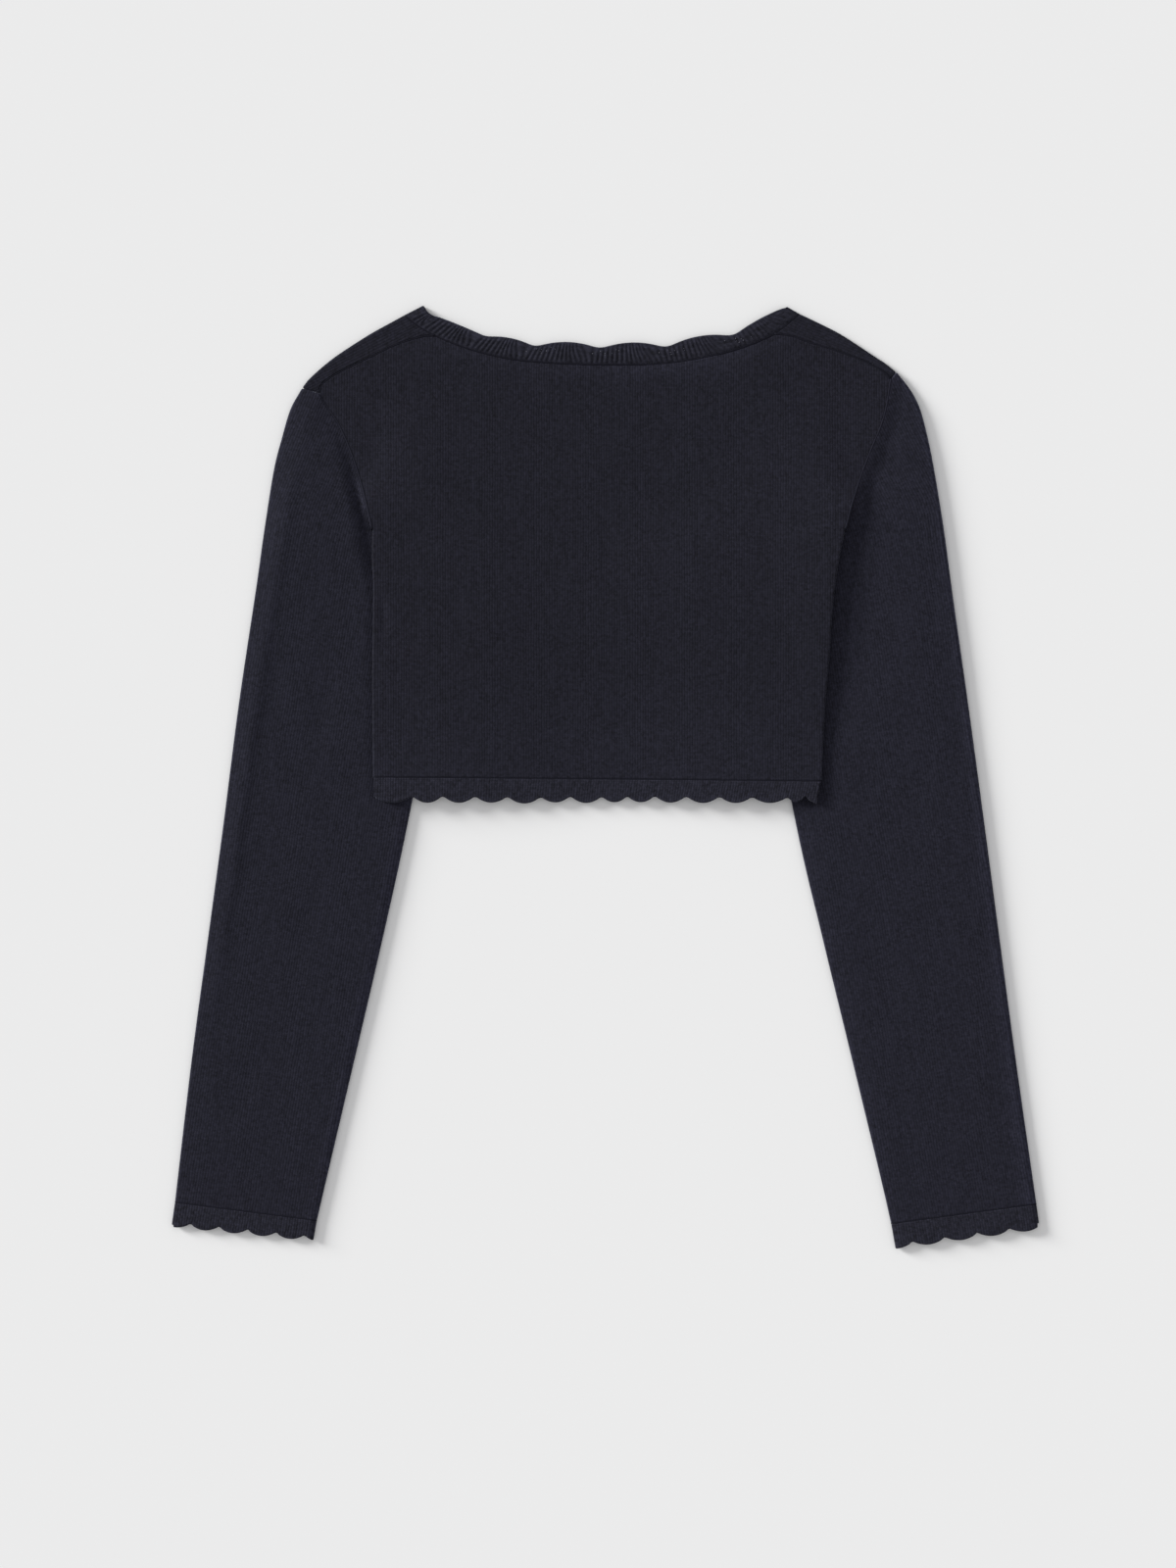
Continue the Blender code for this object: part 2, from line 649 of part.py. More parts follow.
def make_cuff(side):
    """A short flattened tube whose free end is scalloped all the way round."""
    data, plan = SIDES[side], PLAN[side]
    seam_a, seam_b = plan["outer_edge"].at(0), plan["inner_edge"].at(0)
    free_a, free_b = (np.array(p) for p in data["cuff_free"])
    half_round = np.linalg.norm(seam_b - seam_a)
    pitch = 2 * half_round / data["cuff_lobes"]
    columns = round(data["cuff_lobes"] * LOBE_STEPS / 2)
    run = unit(seam_b - seam_a)
    down = np.array([run[1], -run[0]]) * -data["sign"]
    puff = SLEEVE_PUFF * CUFF_PUFF
    heights = [TOP_LAYER + puff * math.sin(math.pi * c / columns) ** PUFF_FULLNESS
               for c in range(columns + 1)]
    rings = []
    for r in range(CUFF_ROWS + 1):
        share = r / CUFF_ROWS
        a = seam_a + (free_a - seam_a) * share + down * HALF_GAP * (1 - share)
        b = seam_b + (free_b - seam_b) * share + down * HALF_GAP * (1 - share)
        ring = sleeve_ring([a + (b - a) * c / columns for c in range(columns + 1)], heights)
        for k, p in enumerate(ring):
            gone = min(max(np.dot(p[:2] - a, unit(b - a)), 0), half_round)
            if k >= columns + FOLD_STEPS:
                gone = 2 * half_round - gone
            t = ((gone - data["first_valley"]) / pitch) % 1.0
            drop = CUFF_LOBE_DROP * 4 * t * (1 - t) * share ** 2
            ring[k] = p + raise_to(down * drop, 0.0)
        rings.append(ring)
    sheet("cuff_" + side, [ring[::data["sign"]] for ring in rings], NAVY_RIB, closed=True)


def neck_band_lines():
    """Plan points across the neck band, one row for each rib's crest and furrow."""
    columns = NECK_RIBS * 2
    free_edge = lobed_edge(NECK_TIP, NECK_LOBES)
    fine = len(NECK_LOBES) * NECK_LOBE_STEPS
    free = Path([free_edge(k / fine, 1.0) for k in range(fine + 1)], smooth=False)
    lines = []
    for c in range(columns + 1):
        a, b = NECK.at(c / columns), free.at(c / columns)
        a = a + unit(b - a) * HALF_GAP
        lines.append([a + (b - a) * w for w in NECK_BAND_ROWS])
    return lines


def band_fold(lines, side):
    """Rings that roll the band's end over the shoulder fold."""
    end, step = (0, 1) if side == "left" else (-1, -2)
    first = unit(lines[end][0] - lines[step][0])
    outwards = [unit(unit(lines[end][k] - lines[step][k]) + first)
                for k in range(len(NECK_BAND_ROWS))]
    return [folded(lines[end][k], outwards[k]) for k in range(len(NECK_BAND_ROWS))]


def make_neck_band():
    """Ribbed band on the back neck, rolled over the shoulder fold at both tips."""
    lines = NECK_LINES
    plain = [0.0] * len(NECK_BAND_ROWS)
    rings = {side: band_fold(lines, side) for side in SIDES}
    rows = [[ring[k] for ring in rings["left"]] for k in range(FOLD_STEPS, -1, -1)]
    raised = [plain] * len(rows)
    for c in range(2, len(lines) - 2):
        rib = RIB_HEIGHT if c % 2 else 0.0
        rows.append([raise_to(p, back_height(p)) for p in lines[c]])
        raised.append([0.0, rib, rib, 0.0])
    rows += [[ring[k] for ring in rings["right"]] for k in range(FOLD_STEPS + 1)]
    raised += [plain] * (FOLD_STEPS + 1)
    ribbed_wall("neck_band", rows, raised, NAVY_RIB)


def make_front_band(side):
    """Plain lobed band under the body, from the shoulder fold down the front edge."""
    sign = SIDES[side]["sign"]
    seam = FRONT_SEAM[side]
    ends = [ring[-1][:2] for ring in band_fold(NECK_LINES, side)]
    start_a, start_b = ends[0], ends[-1]
    clear = unit(seam[1] - seam[0]) * GAP
    slip = start_b + clear - front_free_point(side, 0.0)
    rows = []
    for k in range(BAND_STEPS + 1):
        share = k / BAND_STEPS
        b = front_free_point(side, share) + slip * (1 - smooth_step(share / BAND_START))
        a = by_count(seam, share) if k else start_a + clear
        a = a + unit(b - a) * HALF_GAP * min(k, 1)
        if k == BAND_STEPS:
            a, b = a + np.array([0, GAP]), b + np.array([0, GAP])
        rows.append([a + (b - a) * w for w in (0.0, 0.5, 1.0)])
    rows = [[raise_to(p, front_height(p, side)) for p in row] for row in rows]
    sheet("front_band_" + side, [row[::sign] for row in rows], NAVY_RIB)


def make_hem_band(name, lobes, start, seam_from, seam_to, height):
    """Scalloped strip below the hem seam."""
    edge = lobed_edge(start, lobes)
    columns = len(lobes) * LOBE_STEPS
    rows = []
    for c in range(columns + 1):
        low = edge(c / columns, -1.0)
        share = (low[0] - start[0]) / (lobes[-1][0] - start[0])
        high = HEM.at_x(seam_from + (seam_to - seam_from) * share) - np.array([0, HALF_GAP])
        line = [high + (low - high) * r / HEM_ROWS for r in range(HEM_ROWS + 1)]
        rows.append([raise_to(p, height(p)) for p in line])
    sheet(name, rows, NAVY_RIB)


def make_hem_bands():
    left_x, right_x = HEM_SEAM[0][0], HEM_SEAM[-1][0]
    make_hem_band("hem_band_back", HEM_LOBES, HEM_START, left_x, right_x, back_height)
    left_end = SIDES["left"]["front_edge"][-1][0] + FRONT_BAND_WIDTH
    right_end = SIDES["right"]["front_edge"][-1][0] - FRONT_BAND_WIDTH
    lobes = [(x, y, bulge - FRONT_HEM_SHORTER) for x, y, bulge in HEM_LOBES]
    peeping = (lobes[0][0], lobes[0][1], HEM_LOBES[0][2] + PEEPING_LOBE_DROP)
    left = [peeping] + [lobe for lobe in lobes[1:] if lobe[0] < left_end]
    left.append((left_end, lobes[len(left)][1], lobes[len(left)][2]))
    left_x += HALF_GAP
    make_hem_band("hem_band_front_left", left, (left_x, HEM_START[1]), left_x, left[-1][0],
                  lambda p: front_height(p, "left"))
    right = [lobe for lobe in lobes[:-1] if lobe[0] > right_end + LEAST_LOBE]
    start = (right_end, HEM_START[1])
    make_hem_band("hem_band_front_right", right, start, right_end,
                  right_x - RIGHT_HEM_DRAWN_IN, lambda p: front_height(p, "right"))


def clear_scene():
    for thing in list(bpy.data.objects):
        bpy.data.objects.remove(thing, do_unlink=True)


clear_scene()
COLLECTION = bpy.data.collections.new("cardigan")
bpy.context.scene.collection.children.link(COLLECTION)
NECK_LINES = neck_band_lines()
make_back()
make_neck_band()
make_hem_bands()
for wearer_side in SIDES:
    make_front(wearer_side)
    make_front_band(wearer_side)
    make_sleeve(wearer_side)
    make_cuff(wearer_side)
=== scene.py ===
import math

import bpy
import numpy as np
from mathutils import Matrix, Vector


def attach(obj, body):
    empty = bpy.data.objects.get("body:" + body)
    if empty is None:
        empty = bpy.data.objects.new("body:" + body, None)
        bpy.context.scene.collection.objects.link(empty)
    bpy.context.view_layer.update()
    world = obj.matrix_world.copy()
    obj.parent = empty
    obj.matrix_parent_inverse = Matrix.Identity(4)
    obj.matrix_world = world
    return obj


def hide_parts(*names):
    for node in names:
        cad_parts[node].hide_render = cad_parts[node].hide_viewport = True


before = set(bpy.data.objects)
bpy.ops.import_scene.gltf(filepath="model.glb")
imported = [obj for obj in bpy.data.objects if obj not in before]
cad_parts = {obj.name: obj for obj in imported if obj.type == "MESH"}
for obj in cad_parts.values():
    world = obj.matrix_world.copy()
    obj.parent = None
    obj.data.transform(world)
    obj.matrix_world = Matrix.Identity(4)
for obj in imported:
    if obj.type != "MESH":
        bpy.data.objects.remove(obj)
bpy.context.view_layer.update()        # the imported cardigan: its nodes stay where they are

MM = 0.001

# ------------------------------------------------------------------ sizes
# ---- cloth and stacking
WALL = 1.2              # thickness of the knit
GAP = 0.3               # clear space at seams and between layers
HALF_GAP = GAP / 2
PITCH = WALL + GAP      # from one layer's middle to the next
FLOOR_LAYER = WALL / 2  # middle height of a layer lying on the surface
TOP_LAYER = FLOOR_LAYER + PITCH
FOLD_RADIUS = PITCH / 2
FOLD_CENTRE = FLOOR_LAYER + FOLD_RADIUS
FOLD_INSET = FOLD_RADIUS + WALL / 2
FOLD_STEPS = 8          # rows of faces round a fold
RIM = WALL / 2          # a cut edge is rounded by this much, so its grid stops this far in
RIM_STEPS = 4           # rows of faces round a cut edge
SEAM_INSET = HALF_GAP + RIM     # and a grid stops this far from the line of its seam

# ---- how the body rides over the tucked sleeves
TUCK_RISE = 2 * PITCH
TUCK_MARGIN = 8.0       # the body is at its full rise up to this far outside a tucked sleeve
FRONT_RAMP = 24.0       # and from there the fronts come down to the surface over this
BACK_RAMP_AT_SEAM = 28.0    # the back comes down over this beside an armhole seam
BACK_RAMP_INSIDE = 125.0    # and over this further in, low down
BACK_RAMP_HIGH = 80.0       # and over this further in, high up
RAMP_SHORTENS = (90.0, 180.0)   # low down is below the first height, high up above the second
SEAM_BLEND = 40.0       # further in starts this far from the armhole seam
SAG_SHARE = 0.15        # of a layer is how far the back sags over the front opening, since
                        # the knit is stiff enough to bridge most of the gap
SAG_RAMP = 40.0         # it does so from the opening's edges in, over this
SIDE_ROLL = 1.3         # the body's side edges roll off over this width
SIDE_ROLL_DROP = 0.12   # and by this much

# ---- sleeves
# from its outer and its inner fold, the upper layer rounds off over these
ROUNDS_OVER = {"left": (18.0, 2.5), "right": (2.5, 10.0)}
CUFF_PUFF = 0.45          # how far a cuff's upper layer stands off the lower one
EDGE_PAINTED_HIGHLIGHT = {
    # painted highlight at the folds, stronger on the sides turned from the light: outer then
    # inner, how much paler each is drawn, and over what width that fades
    "left": ((0.0, 7.0), (0.52, 8.0)),
    "right": ((0.58, 13.0), (0.10, 7.0)),
}
SLEEVE_PAINTED_LIGHT = {"left": 0.0, "right": 0.05}    # and painted light all over, where the sleeve faces the light
DIVE = 25.0             # above the underarm, a sleeve comes up to its seam over this height
SEAM_LIFT_WIDTH = {"left": 3.8, "right": 9.0}  # and it is up only this close to the seam
FOLD_LOOK = 0.06        # share of a sleeve's width over which a fold's direction is read

SEAM_YARN = 0.72        # radius of the linking yarn in the seams
YARN_SIDES = 10
YARN_UNEVEN = 0.10      # it sinks and rises this much with its stitches
YARN_WAVES = (1.1, 2.3)     # in two waves, which turn by these radians from point to point
SEAM_YARN_LIFT = {      # how far its middle stands from the walls' middle
    "furrows": -0.20,
    "shoulders": -0.08,
    "armholes": 0.02,
}

# ---- grid counts: shared seam points are FINE times as close as the garment's cut needs
FINE = 6
SIDE_STEPS = 10 * FINE
ARMHOLE_STEPS = 7 * FINE
UNDERARM_STEPS = 4 * FINE
SHOULDER_STEPS = 9 * FINE
NECK_PART_STEPS = 3 * FINE
NECK_STEPS = 16 * FINE
STRIP_ROWS = 12
SLEEVE_ROWS = 150
CUFF_ROWS = 12
LOBE_COLUMNS = 16
HEM_ROWS = 12
BAND_ROWS = 7
BAND_COLUMNS = 260
CURVE_STEPS = 8         # points on a smooth line for each one given
STRAIGHT = 0.004        # sine of a turn small enough to count as straight on
TINY = 1e-9             # keeps a division by a length of nothing apart from zero
BATCH = 3000            # points measured at a time, to keep the arrays small
EDGE_LINES = (0.35, 0.8)    # extra grid lines this far from a piece's edges keep them crisp
EDGE_LINES_WITHIN = 0.9     # but only within this share of the first even step
SLEEVE_CENTRE_STEPS = 40
OPENING_STEPS = 36
NEAR_FOLD = 0.8         # share of the strip behind the shoulder where its run is read
EASE_ROWS = 6           # rows of a front below the shoulder fold that ease into its line

# ---- bands
NECK_BAND_WIDTH = 9.0
NECK_RIBS = 82
RIB_HEIGHT = 0.32
RIB_FULLNESS = 0.8      # below 1 makes a rib broader than the furrow beside it
RIB_START = 0.10        # share of the band's width over which the ribs rise from the seam
RIB_COLUMNS = 8         # columns of points across one rib
NECK_BAND_ROWS = 11
RIB_LEAN = 2.0          # how many ribs the tops lean towards the crown,
RIB_LEAN_FROM = 0.35    # from this share of each lobe on
NECK_BORDER = 0.30      # share of the band's width that is plain along its free edge
NECK_BORDER_PALER = 0.4     # and how much paler it is, from this share of the width on
NECK_PALER_FROM = 0.62
NECK_PALER_OVER = 0.3
NECK_BEAD = 0.22        # the bound-off edge stands this proud, over this width
NECK_BEAD_WIDTH = 0.9
NECK_STEP = 1 / (2 * NECK_RIBS)     # half a rib, as a share of the band
NECK_BAND_ENDS = 2 * NECK_STEP      # share at each end that is rolled over the shoulder
NECK_FOLD_SHARE = 0.006     # what the rolled part takes up on the knit map
FRONT_BAND_LENGTH = 270.0
FRONT_BAND_WIDTH = 11.0
FRONT_BAND_LOBES = 9
FRONT_BAND_RISE = 3.0   # how far its lobes bulge
FRONT_BAND_LOOK = 0.03  # share of its length over which its run is read
BAND_START = 0.1        # share over which it comes away from the neck band's end
BAND_END = 0.03         # share over which it draws up at the hem
CUFF_DEPTH = 11.0
CUFF_LOBE_DROP = 2.8
CUFF_UNDER_SHORT = 2.4  # the hidden layer of a cuff stops this far short at its middle
CUFF_UNDER_EVEN = 0.25  # nearer 0 makes it short all along
LOBE_STEP = 0.45        # each cuff lobe starts a little lower than the last one ended,
LOBE_STEP_OVER = 0.12   # within this share of a lobe
HEM_DEPTH = 12.0
HEM_BEAD = 0.15         # the hem's bound-off edge stands this proud, over this width
HEM_BEAD_WIDTH = 0.8

# ---- stitch sizes, from the knit's gauge
WALE = 1.47             # one column of stitches
COURSE = 1.05           # one row of stitches
RIB_PITCH = 2.93        # one rib and the furrow beside it, two columns wide

# ---- rough sizes of the panels as laid, which space the extra grid lines at their edges
BODY_WIDTH = 255.0
BODY_HEIGHT = 240.0
SHOULDER_WIDTH = 76.0
STRIP_DEPTH = 18.0      # the part of a front that lies behind the shoulder
SLEEVE_LENGTH = 480.0

# ---- the flat cut of each piece in metres, across and along; a tube is stated all round
FLAT_BACK = (0.323, 0.253)
FLAT_FRONT = (0.150, 0.290)
FLAT_SLEEVE = (0.226, 0.492)
FLAT_NECK_BAND = (0.242, 0.0125)
FLAT_FRONT_BAND = (0.285, 0.014)
FLAT_CUFF = (0.166, 0.0165)
FLAT_HEM_DEPTH = 0.016
HEM_BACK_WIDTH = 254.0
HEM_LEFT_WIDTH = 129.0
HEM_RIGHT_WIDTH = 105.0

# ---- outline of the neck: seam between band and panels, left to right (x, y)
NECK_SEAM = (
    (-113.9, 260.9), (-106.0, 254.6), (-96.7, 249.4), (-84.4, 244.2), (-71.1, 239.9),
    (-52.8, 235.9), (-35.6, 234.2), (-14.4, 233.1), (5.0, 232.8), (25.0, 233.0),
    (43.3, 234.6), (61.7, 238.2), (76.7, 242.3), (90.6, 247.8), (99.5, 252.9), (110.0, 261.4),
)
NECK_END_X = {"left": -96.7, "right": 95.6}   # where the shoulder seams meet the band

# ---- free edge of the neck band: each lobe's far end and how far it bulges
NECK_TIP = (-103.3, 266.4)
NECK_LOBES = (
    # end_x, end_y, bulge
    (-94.4, 259.7, -1.6),
    (-67.8, 248.6, 0.3),
    (-40.0, 242.8, 2.1),
    (-3.3, 241.7, 3.4),
    (34.4, 242.2, 3.4),
    (72.2, 248.9, 3.4),
    (102.8, 265.6, 1.4),
)

# ---- the hem: seam line, then each lobe's far end and how far it bulges down
HEM_SEAM = ((-131.7, -0.8), (-5.0, -1.8), (122.2, -3.1))
HEM_START = (-131.7, -12.0)
HEM_BOTTOM = -17.0      # the body covers the sleeves down to here
HEM_LOBES = (
    # end_x, end_y, bulge
    (-109.4, -12.2, 3.7),
    (-92.2, -12.0, 3.9),
    (-73.9, -12.2, 3.9),
    (-55.6, -12.4, 3.6),
    (-36.7, -12.6, 3.9),
    (-20.0, -12.2, 3.4),
    (-2.2, -12.4, 3.8),
    (12.2, -12.2, 3.4),
    (27.8, -12.0, 3.6),
    (45.6, -12.2, 3.8),
    (64.4, -12.4, 3.8),
    (82.8, -12.6, 3.6),
    (102.8, -12.8, 3.4),
    (112.8, -12.0, 3.2),
    (119.6, -16.6, 0.6),
)
FRONT_HEM_SHORTER = 0.9     # the front's lobes bulge this much less, so they stay hidden,
PEEPING_LOBE_DROP = 0.3     # but for the first one, which peeps out by this much
LEAST_LOBE = 2.0            # a lobe narrower than this at the opening is left off
RIGHT_HEM_DRAWN_IN = 6.0    # the right front's hem stops this far short of the side seam
HEM_DRAWN_UP = 0.7      # the lobes' edge curls in by this much
DIP_ROUNDING = 0.06     # share of a lobe over which the dips are rounded

# ---- the two sides; every path is a list of (x, y)
SIDES = {
    "left": {
        "sign": -1,
        "outer_edge": (  # sleeve's folded edge, cuff seam to shoulder point
            (-244.0, -241.5), (-234.5, -160.5), (-225.5, -93.5), (-216.5, -27.0),
            (-208.0, 39.5), (-198.0, 106.5), (-193.3, 139.7), (-188.0, 173.0),
            (-183.5, 191.0), (-178.6, 207.5), (-172.0, 219.5),
        ),
        "inner_edge": (  # the other fold, cuff seam to underarm
            (-163.6, -251.9), (-157.8, -227.0), (-142.2, -160.3), (-126.7, -93.6),
            (-112.2, -26.9), (-90.6, 84.2),
        ),
        "cap": ((-172.0, 219.5), (-162.0, 216.8)),
        "armhole": (     # cap's end to where the seam goes under the body
            (-162.0, 216.8), (-159.2, 211.0), (-151.3, 199.2), (-143.9, 182.5),
            (-138.3, 165.3), (-134.2, 149.0), (-132.2, 139.7),
        ),
        "body_edge": (
            (-132.2, 139.7), (-132.4, 122.5), (-131.7, 104.2), (-132.2, 51.4),
            (-131.7, -0.8),
        ),
        "shoulder_fold": (  # neck to shoulder point, along the outline
            (-113.9, 260.9), (-120.0, 257.5), (-132.2, 250.8), (-142.8, 244.2),
            (-152.8, 237.5), (-161.1, 230.9), (-168.3, 224.2), (-172.0, 219.5),
        ),
        "shoulder_seam": (  # neck band to the cap
            (-96.7, 249.4), (-104.4, 248.6), (-118.3, 244.2), (-131.1, 238.1),
            (-143.9, 231.9), (-155.0, 226.0), (-160.6, 221.6), (-162.0, 216.8),
        ),
        "front_edge": (     # seam between front panel and its band
            (-97.0, 222.0), (-70.0, 172.0), (-40.0, 122.0), (-20.5, 80.0), (-14.5, 42.0),
            (-14.5, -1.7),
        ),
        "cuff_free": ((-245.6, -252.6), (-165.2, -260.6)),    # ends of the cuff's free edge
        "cuff_lobes": 10,
        "first_valley": 10.6,  # from the outer fold to the first dip, along the cuff
    },
    "right": {
        "sign": 1,
        "outer_edge": (
            (244.0, -242.5), (232.3, -160.5), (223.3, -93.5), (214.5, -27.0),
            (205.5, 39.5), (196.0, 106.5), (191.5, 139.7), (186.0, 173.0),
            (182.5, 190.5), (178.0, 207.5), (172.8, 218.0), (164.5, 228.6),
        ),
        "inner_edge": (
            (161.7, -253.6), (155.6, -227.0), (139.5, -160.3), (123.3, -93.6),
            (107.8, -26.9), (87.2, 84.2),
        ),
        "cap": ((164.5, 228.6), (161.4, 224.6)),
        "armhole": (
            (161.4, 224.6), (160.3, 217.5), (158.6, 207.5), (155.6, 197.5), (150.2, 184.5),
            (144.6, 170.0), (139.0, 153.0), (135.6, 139.7),
        ),
        "body_edge": (
            (135.6, 139.7), (131.9, 121.0), (128.9, 99.7), (126.7, 68.6), (124.3, 40.0),
            (122.2, -3.1),
        ),
        "shoulder_fold": (
            (110.0, 261.4), (118.3, 257.5), (131.7, 250.8), (142.2, 244.2),
            (152.2, 237.5), (158.6, 233.4), (164.5, 228.6),
        ),
        "shoulder_seam": (
            (95.6, 250.4), (105.6, 248.9), (113.9, 245.8), (125.0, 242.5), (132.2, 240.0),
            (145.6, 235.0), (156.0, 229.6), (161.4, 224.6),
        ),
        "front_edge": (
            (97.0, 222.0), (73.0, 172.0), (46.0, 122.0), (28.5, 80.0), (23.2, 42.0),
            (23.2, -2.0),
        ),
        "cuff_free": ((245.6, -254.0), (163.8, -265.0)),
        "cuff_lobes": 9,
        "first_valley": 17.2,
    },
}

# ---- how far each sleeve's upper layer stands off the lower one
SLEEVE_LEVELS = {
    "left": (
        # y, height
        (-260.0, 0.45),
        (-150.0, 0.6),
        (-25.0, 0.75),
        (60.0, 0.85),
        (95.0, 1.05),
        (110.0, 1.5),
        (122.0, 2.1),
        (140.0, 2.5),
        (160.0, 2.3),
        (180.0, 1.8),
        (200.0, 1.1),
        (218.0, 0.5),
    ),
    "right": (
        (-260.0, 0.45),
        (-150.0, 0.55),
        (0.0, 0.8),
        (100.0, 0.9),
        (205.0, 0.8),
        (228.0, 0.4),
    ),
}

# ---- the trough between each sleeve and the body: from the body's edge out it is flat,
# ---- then the sleeve climbs back by this drop, first steeply
SLEEVE_TROUGHS = {
    "left": (
        # y, flat_for, drop, climbs_over
        (-25.0, 0.0, 0.0, 4.0),
        (-5.0, 0.0, 0.25, 4.0),
        (60.0, 0.0, 0.32, 4.0),
        (95.0, 0.0, 0.45, 4.5),
        (108.0, 0.0, 0.8, 6.0),
        (120.0, 1.0, 1.9, 8.0),
        (134.0, 3.0, 2.5, 9.0),
        (142.0, 4.5, 2.5, 8.0),
        (152.0, 4.5, 2.4, 7.0),
        (163.0, 4.0, 2.2, 6.5),
        (176.0, 3.2, 1.8, 5.5),
        (190.0, 2.4, 1.3, 5.0),
        (203.0, 1.5, 0.5, 5.0),
        (214.0, 1.0, 0.0, 5.0),
    ),
    "right": (
        (-30.0, 0.0, 0.0, 30.0),
        (-12.0, 0.0, 0.8, 20.0),
        (8.0, 0.0, 0.8, 14.0),
        (24.0, 1.0, 0.9, 19.0),
        (44.0, 9.0, 0.9, 32.0),
        (68.0, 17.0, 0.9, 34.0),
        (95.0, 20.0, 0.9, 34.0),
        (112.0, 17.0, 0.9, 32.0),
        (143.0, 6.0, 0.9, 27.0),
        (172.0, 10.0, 0.9, 30.0),
        (205.0, 6.0, 0.8, 28.0),
        (222.0, 3.0, 0.4, 20.0),
    ),
}

# ---- places where a side edge of the body stands proud of the sleeve under it
SIDE_LIFTS = (
    # side, y_from, y_to, height, fades_over
    ("right", 60.0, 245.0, 1.5, 45.0),
    ("right", 15.0, 150.0, 0.7, 30.0),
)

# ---- the largest soft folds of the sleeves, across (0 outer, 1 inner) and along (0 cuff)
SLEEVE_FOLDS = (
    # side, across, half_width, along_from, along_to, depth
    ("left", 0.070, 0.050, 0.15, 0.92, -0.75),
    ("right", 0.16, 0.10, 0.50, 0.90, 0.15),
    ("left", 0.62, 0.12, 0.05, 0.30, 0.25),
)

# ---- small creases, placed one by one: a trough where depth is above 0, a ridge below
CREASE_TAPER = 0.7       # below 1 keeps a crease deep along most of its length
CREASES = (
    # piece, from_x, from_y, to_x, to_y, half_width, depth
    ("back", -126.5, 104.0, -125.0, 76.0, 2.2, 0.45),
    ("back", -164.0, 214.0, -147.5, 181.0, 3.0, 0.2),
    ("back", -150.0, 187.0, -137.0, 148.0, 3.5, 0.35),
    ("back", -4.5, 196.0, -5.0, 66.0, 1.1, -0.10),
    ("back", -108.0, 150.0, -92.0, 128.0, 9.0, 0.18),
    ("back", 96.0, 150.0, 82.0, 118.0, 10.0, 0.18),
    ("back", 20.0, 232.0, 66.0, 238.0, 7.0, -0.35),
    ("back", -100.0, 14.0, 100.0, 12.0, 9.0, -0.22),
    ("sleeve_left", -164.0, 214.0, -147.5, 181.0, 4.5, 0.6),
    ("sleeve_left", -150.0, 187.0, -137.0, 148.0, 4.5, 0.5),
    ("sleeve_left", -187.0, 60.0, -192.0, 14.0, 6.0, 0.22),
    ("sleeve_left", -154.0, 64.0, -168.0, 10.0, 8.0, 0.35),
    ("sleeve_left", -190.0, -150.0, -214.0, -196.0, 7.0, 0.28),
    ("sleeve_left", -163.0, -60.0, -176.0, -110.0, 8.0, 0.25),
    ("sleeve_right", 218.0, -190.0, 232.0, -204.0, 4.0, 0.45),
    ("sleeve_right", 196.0, 60.0, 204.0, -10.0, 7.0, 0.30),
    ("sleeve_right", 150.0, -80.0, 166.0, -150.0, 8.0, 0.25),
)


# ------------------------------------------------------------------ lines in plan
def unit(vectors):
    """The same directions, each of length 1."""
    return vectors / np.linalg.norm(vectors, axis=-1, keepdims=True)


def curve_through(points):
    """Points of a Catmull-Rom curve through the given ones."""
    ends = [2 * points[0] - points[1]] + points + [2 * points[-1] - points[-2]]
    line = []
    for a, b, c, d in zip(ends, ends[1:], ends[2:], ends[3:]):
        for t in np.arange(CURVE_STEPS) / CURVE_STEPS:
            line.append(0.5 * (2 * b + (c - a) * t + (2 * a - 5 * b + 4 * c - d) * t ** 2
                               + (3 * b - a - 3 * c + d) * t ** 3))
    return line + [points[-1]]


def read_at(place, places, points):
    """Points of a row, read between them at the given places."""
    return np.stack([np.interp(place, places, points[:, k]) for k in (0, 1)], axis=-1)


def bulge(share):
    """From 0 up to 1 in the middle of a lobe and back."""
    return 4 * share * (1 - share)


class Line:
    """A smooth line through points, read by its share of length."""

    def __init__(self, points, smooth=True):
        points = [np.array(p, float) for p in points]
        if smooth and len(points) > 2:
            points = curve_through(points)
        self.points = np.array(points)
        steps = np.linalg.norm(np.diff(self.points, axis=0), axis=1)
        self.reach = np.concatenate([[0.0], np.cumsum(steps)])
        self.length = self.reach[-1]

    def at(self, share):
        """Points at shares of its length."""
        return read_at(np.asarray(share) * self.length, self.reach, self.points)

    def at_x(self, x):
        """Points at places across, on a line that runs from side to side."""
        order = 1 if self.points[-1, 0] > self.points[0, 0] else -1
        y = np.interp(x, self.points[::order, 0], self.points[::order, 1])
        return np.stack([np.asarray(x, float), y], axis=-1)

    def share_of_x(self, x):
        """Its share of length at a place across."""
        order = 1 if self.points[-1, 0] > self.points[0, 0] else -1
        return float(np.interp(x, self.points[::order, 0], self.reach[::order])) / self.length

    def sampled(self, steps):
        """Points at even steps, with both ends."""
        return self.at(np.linspace(0, 1, steps + 1))


def by_count(points, share):
    """Points at shares of a row of points, each step counting alike."""
    place = np.clip(share, 0, 1) * (len(points) - 1)
    k = np.minimum(place.astype(int), len(points) - 2)
    return points[k] + (points[k + 1] - points[k]) * (place - k)[..., None]


def joined(*lines):
    """Rows of points end to end, with the shared ends once."""
    return np.concatenate([lines[0]] + [line[1:] for line in lines[1:]])


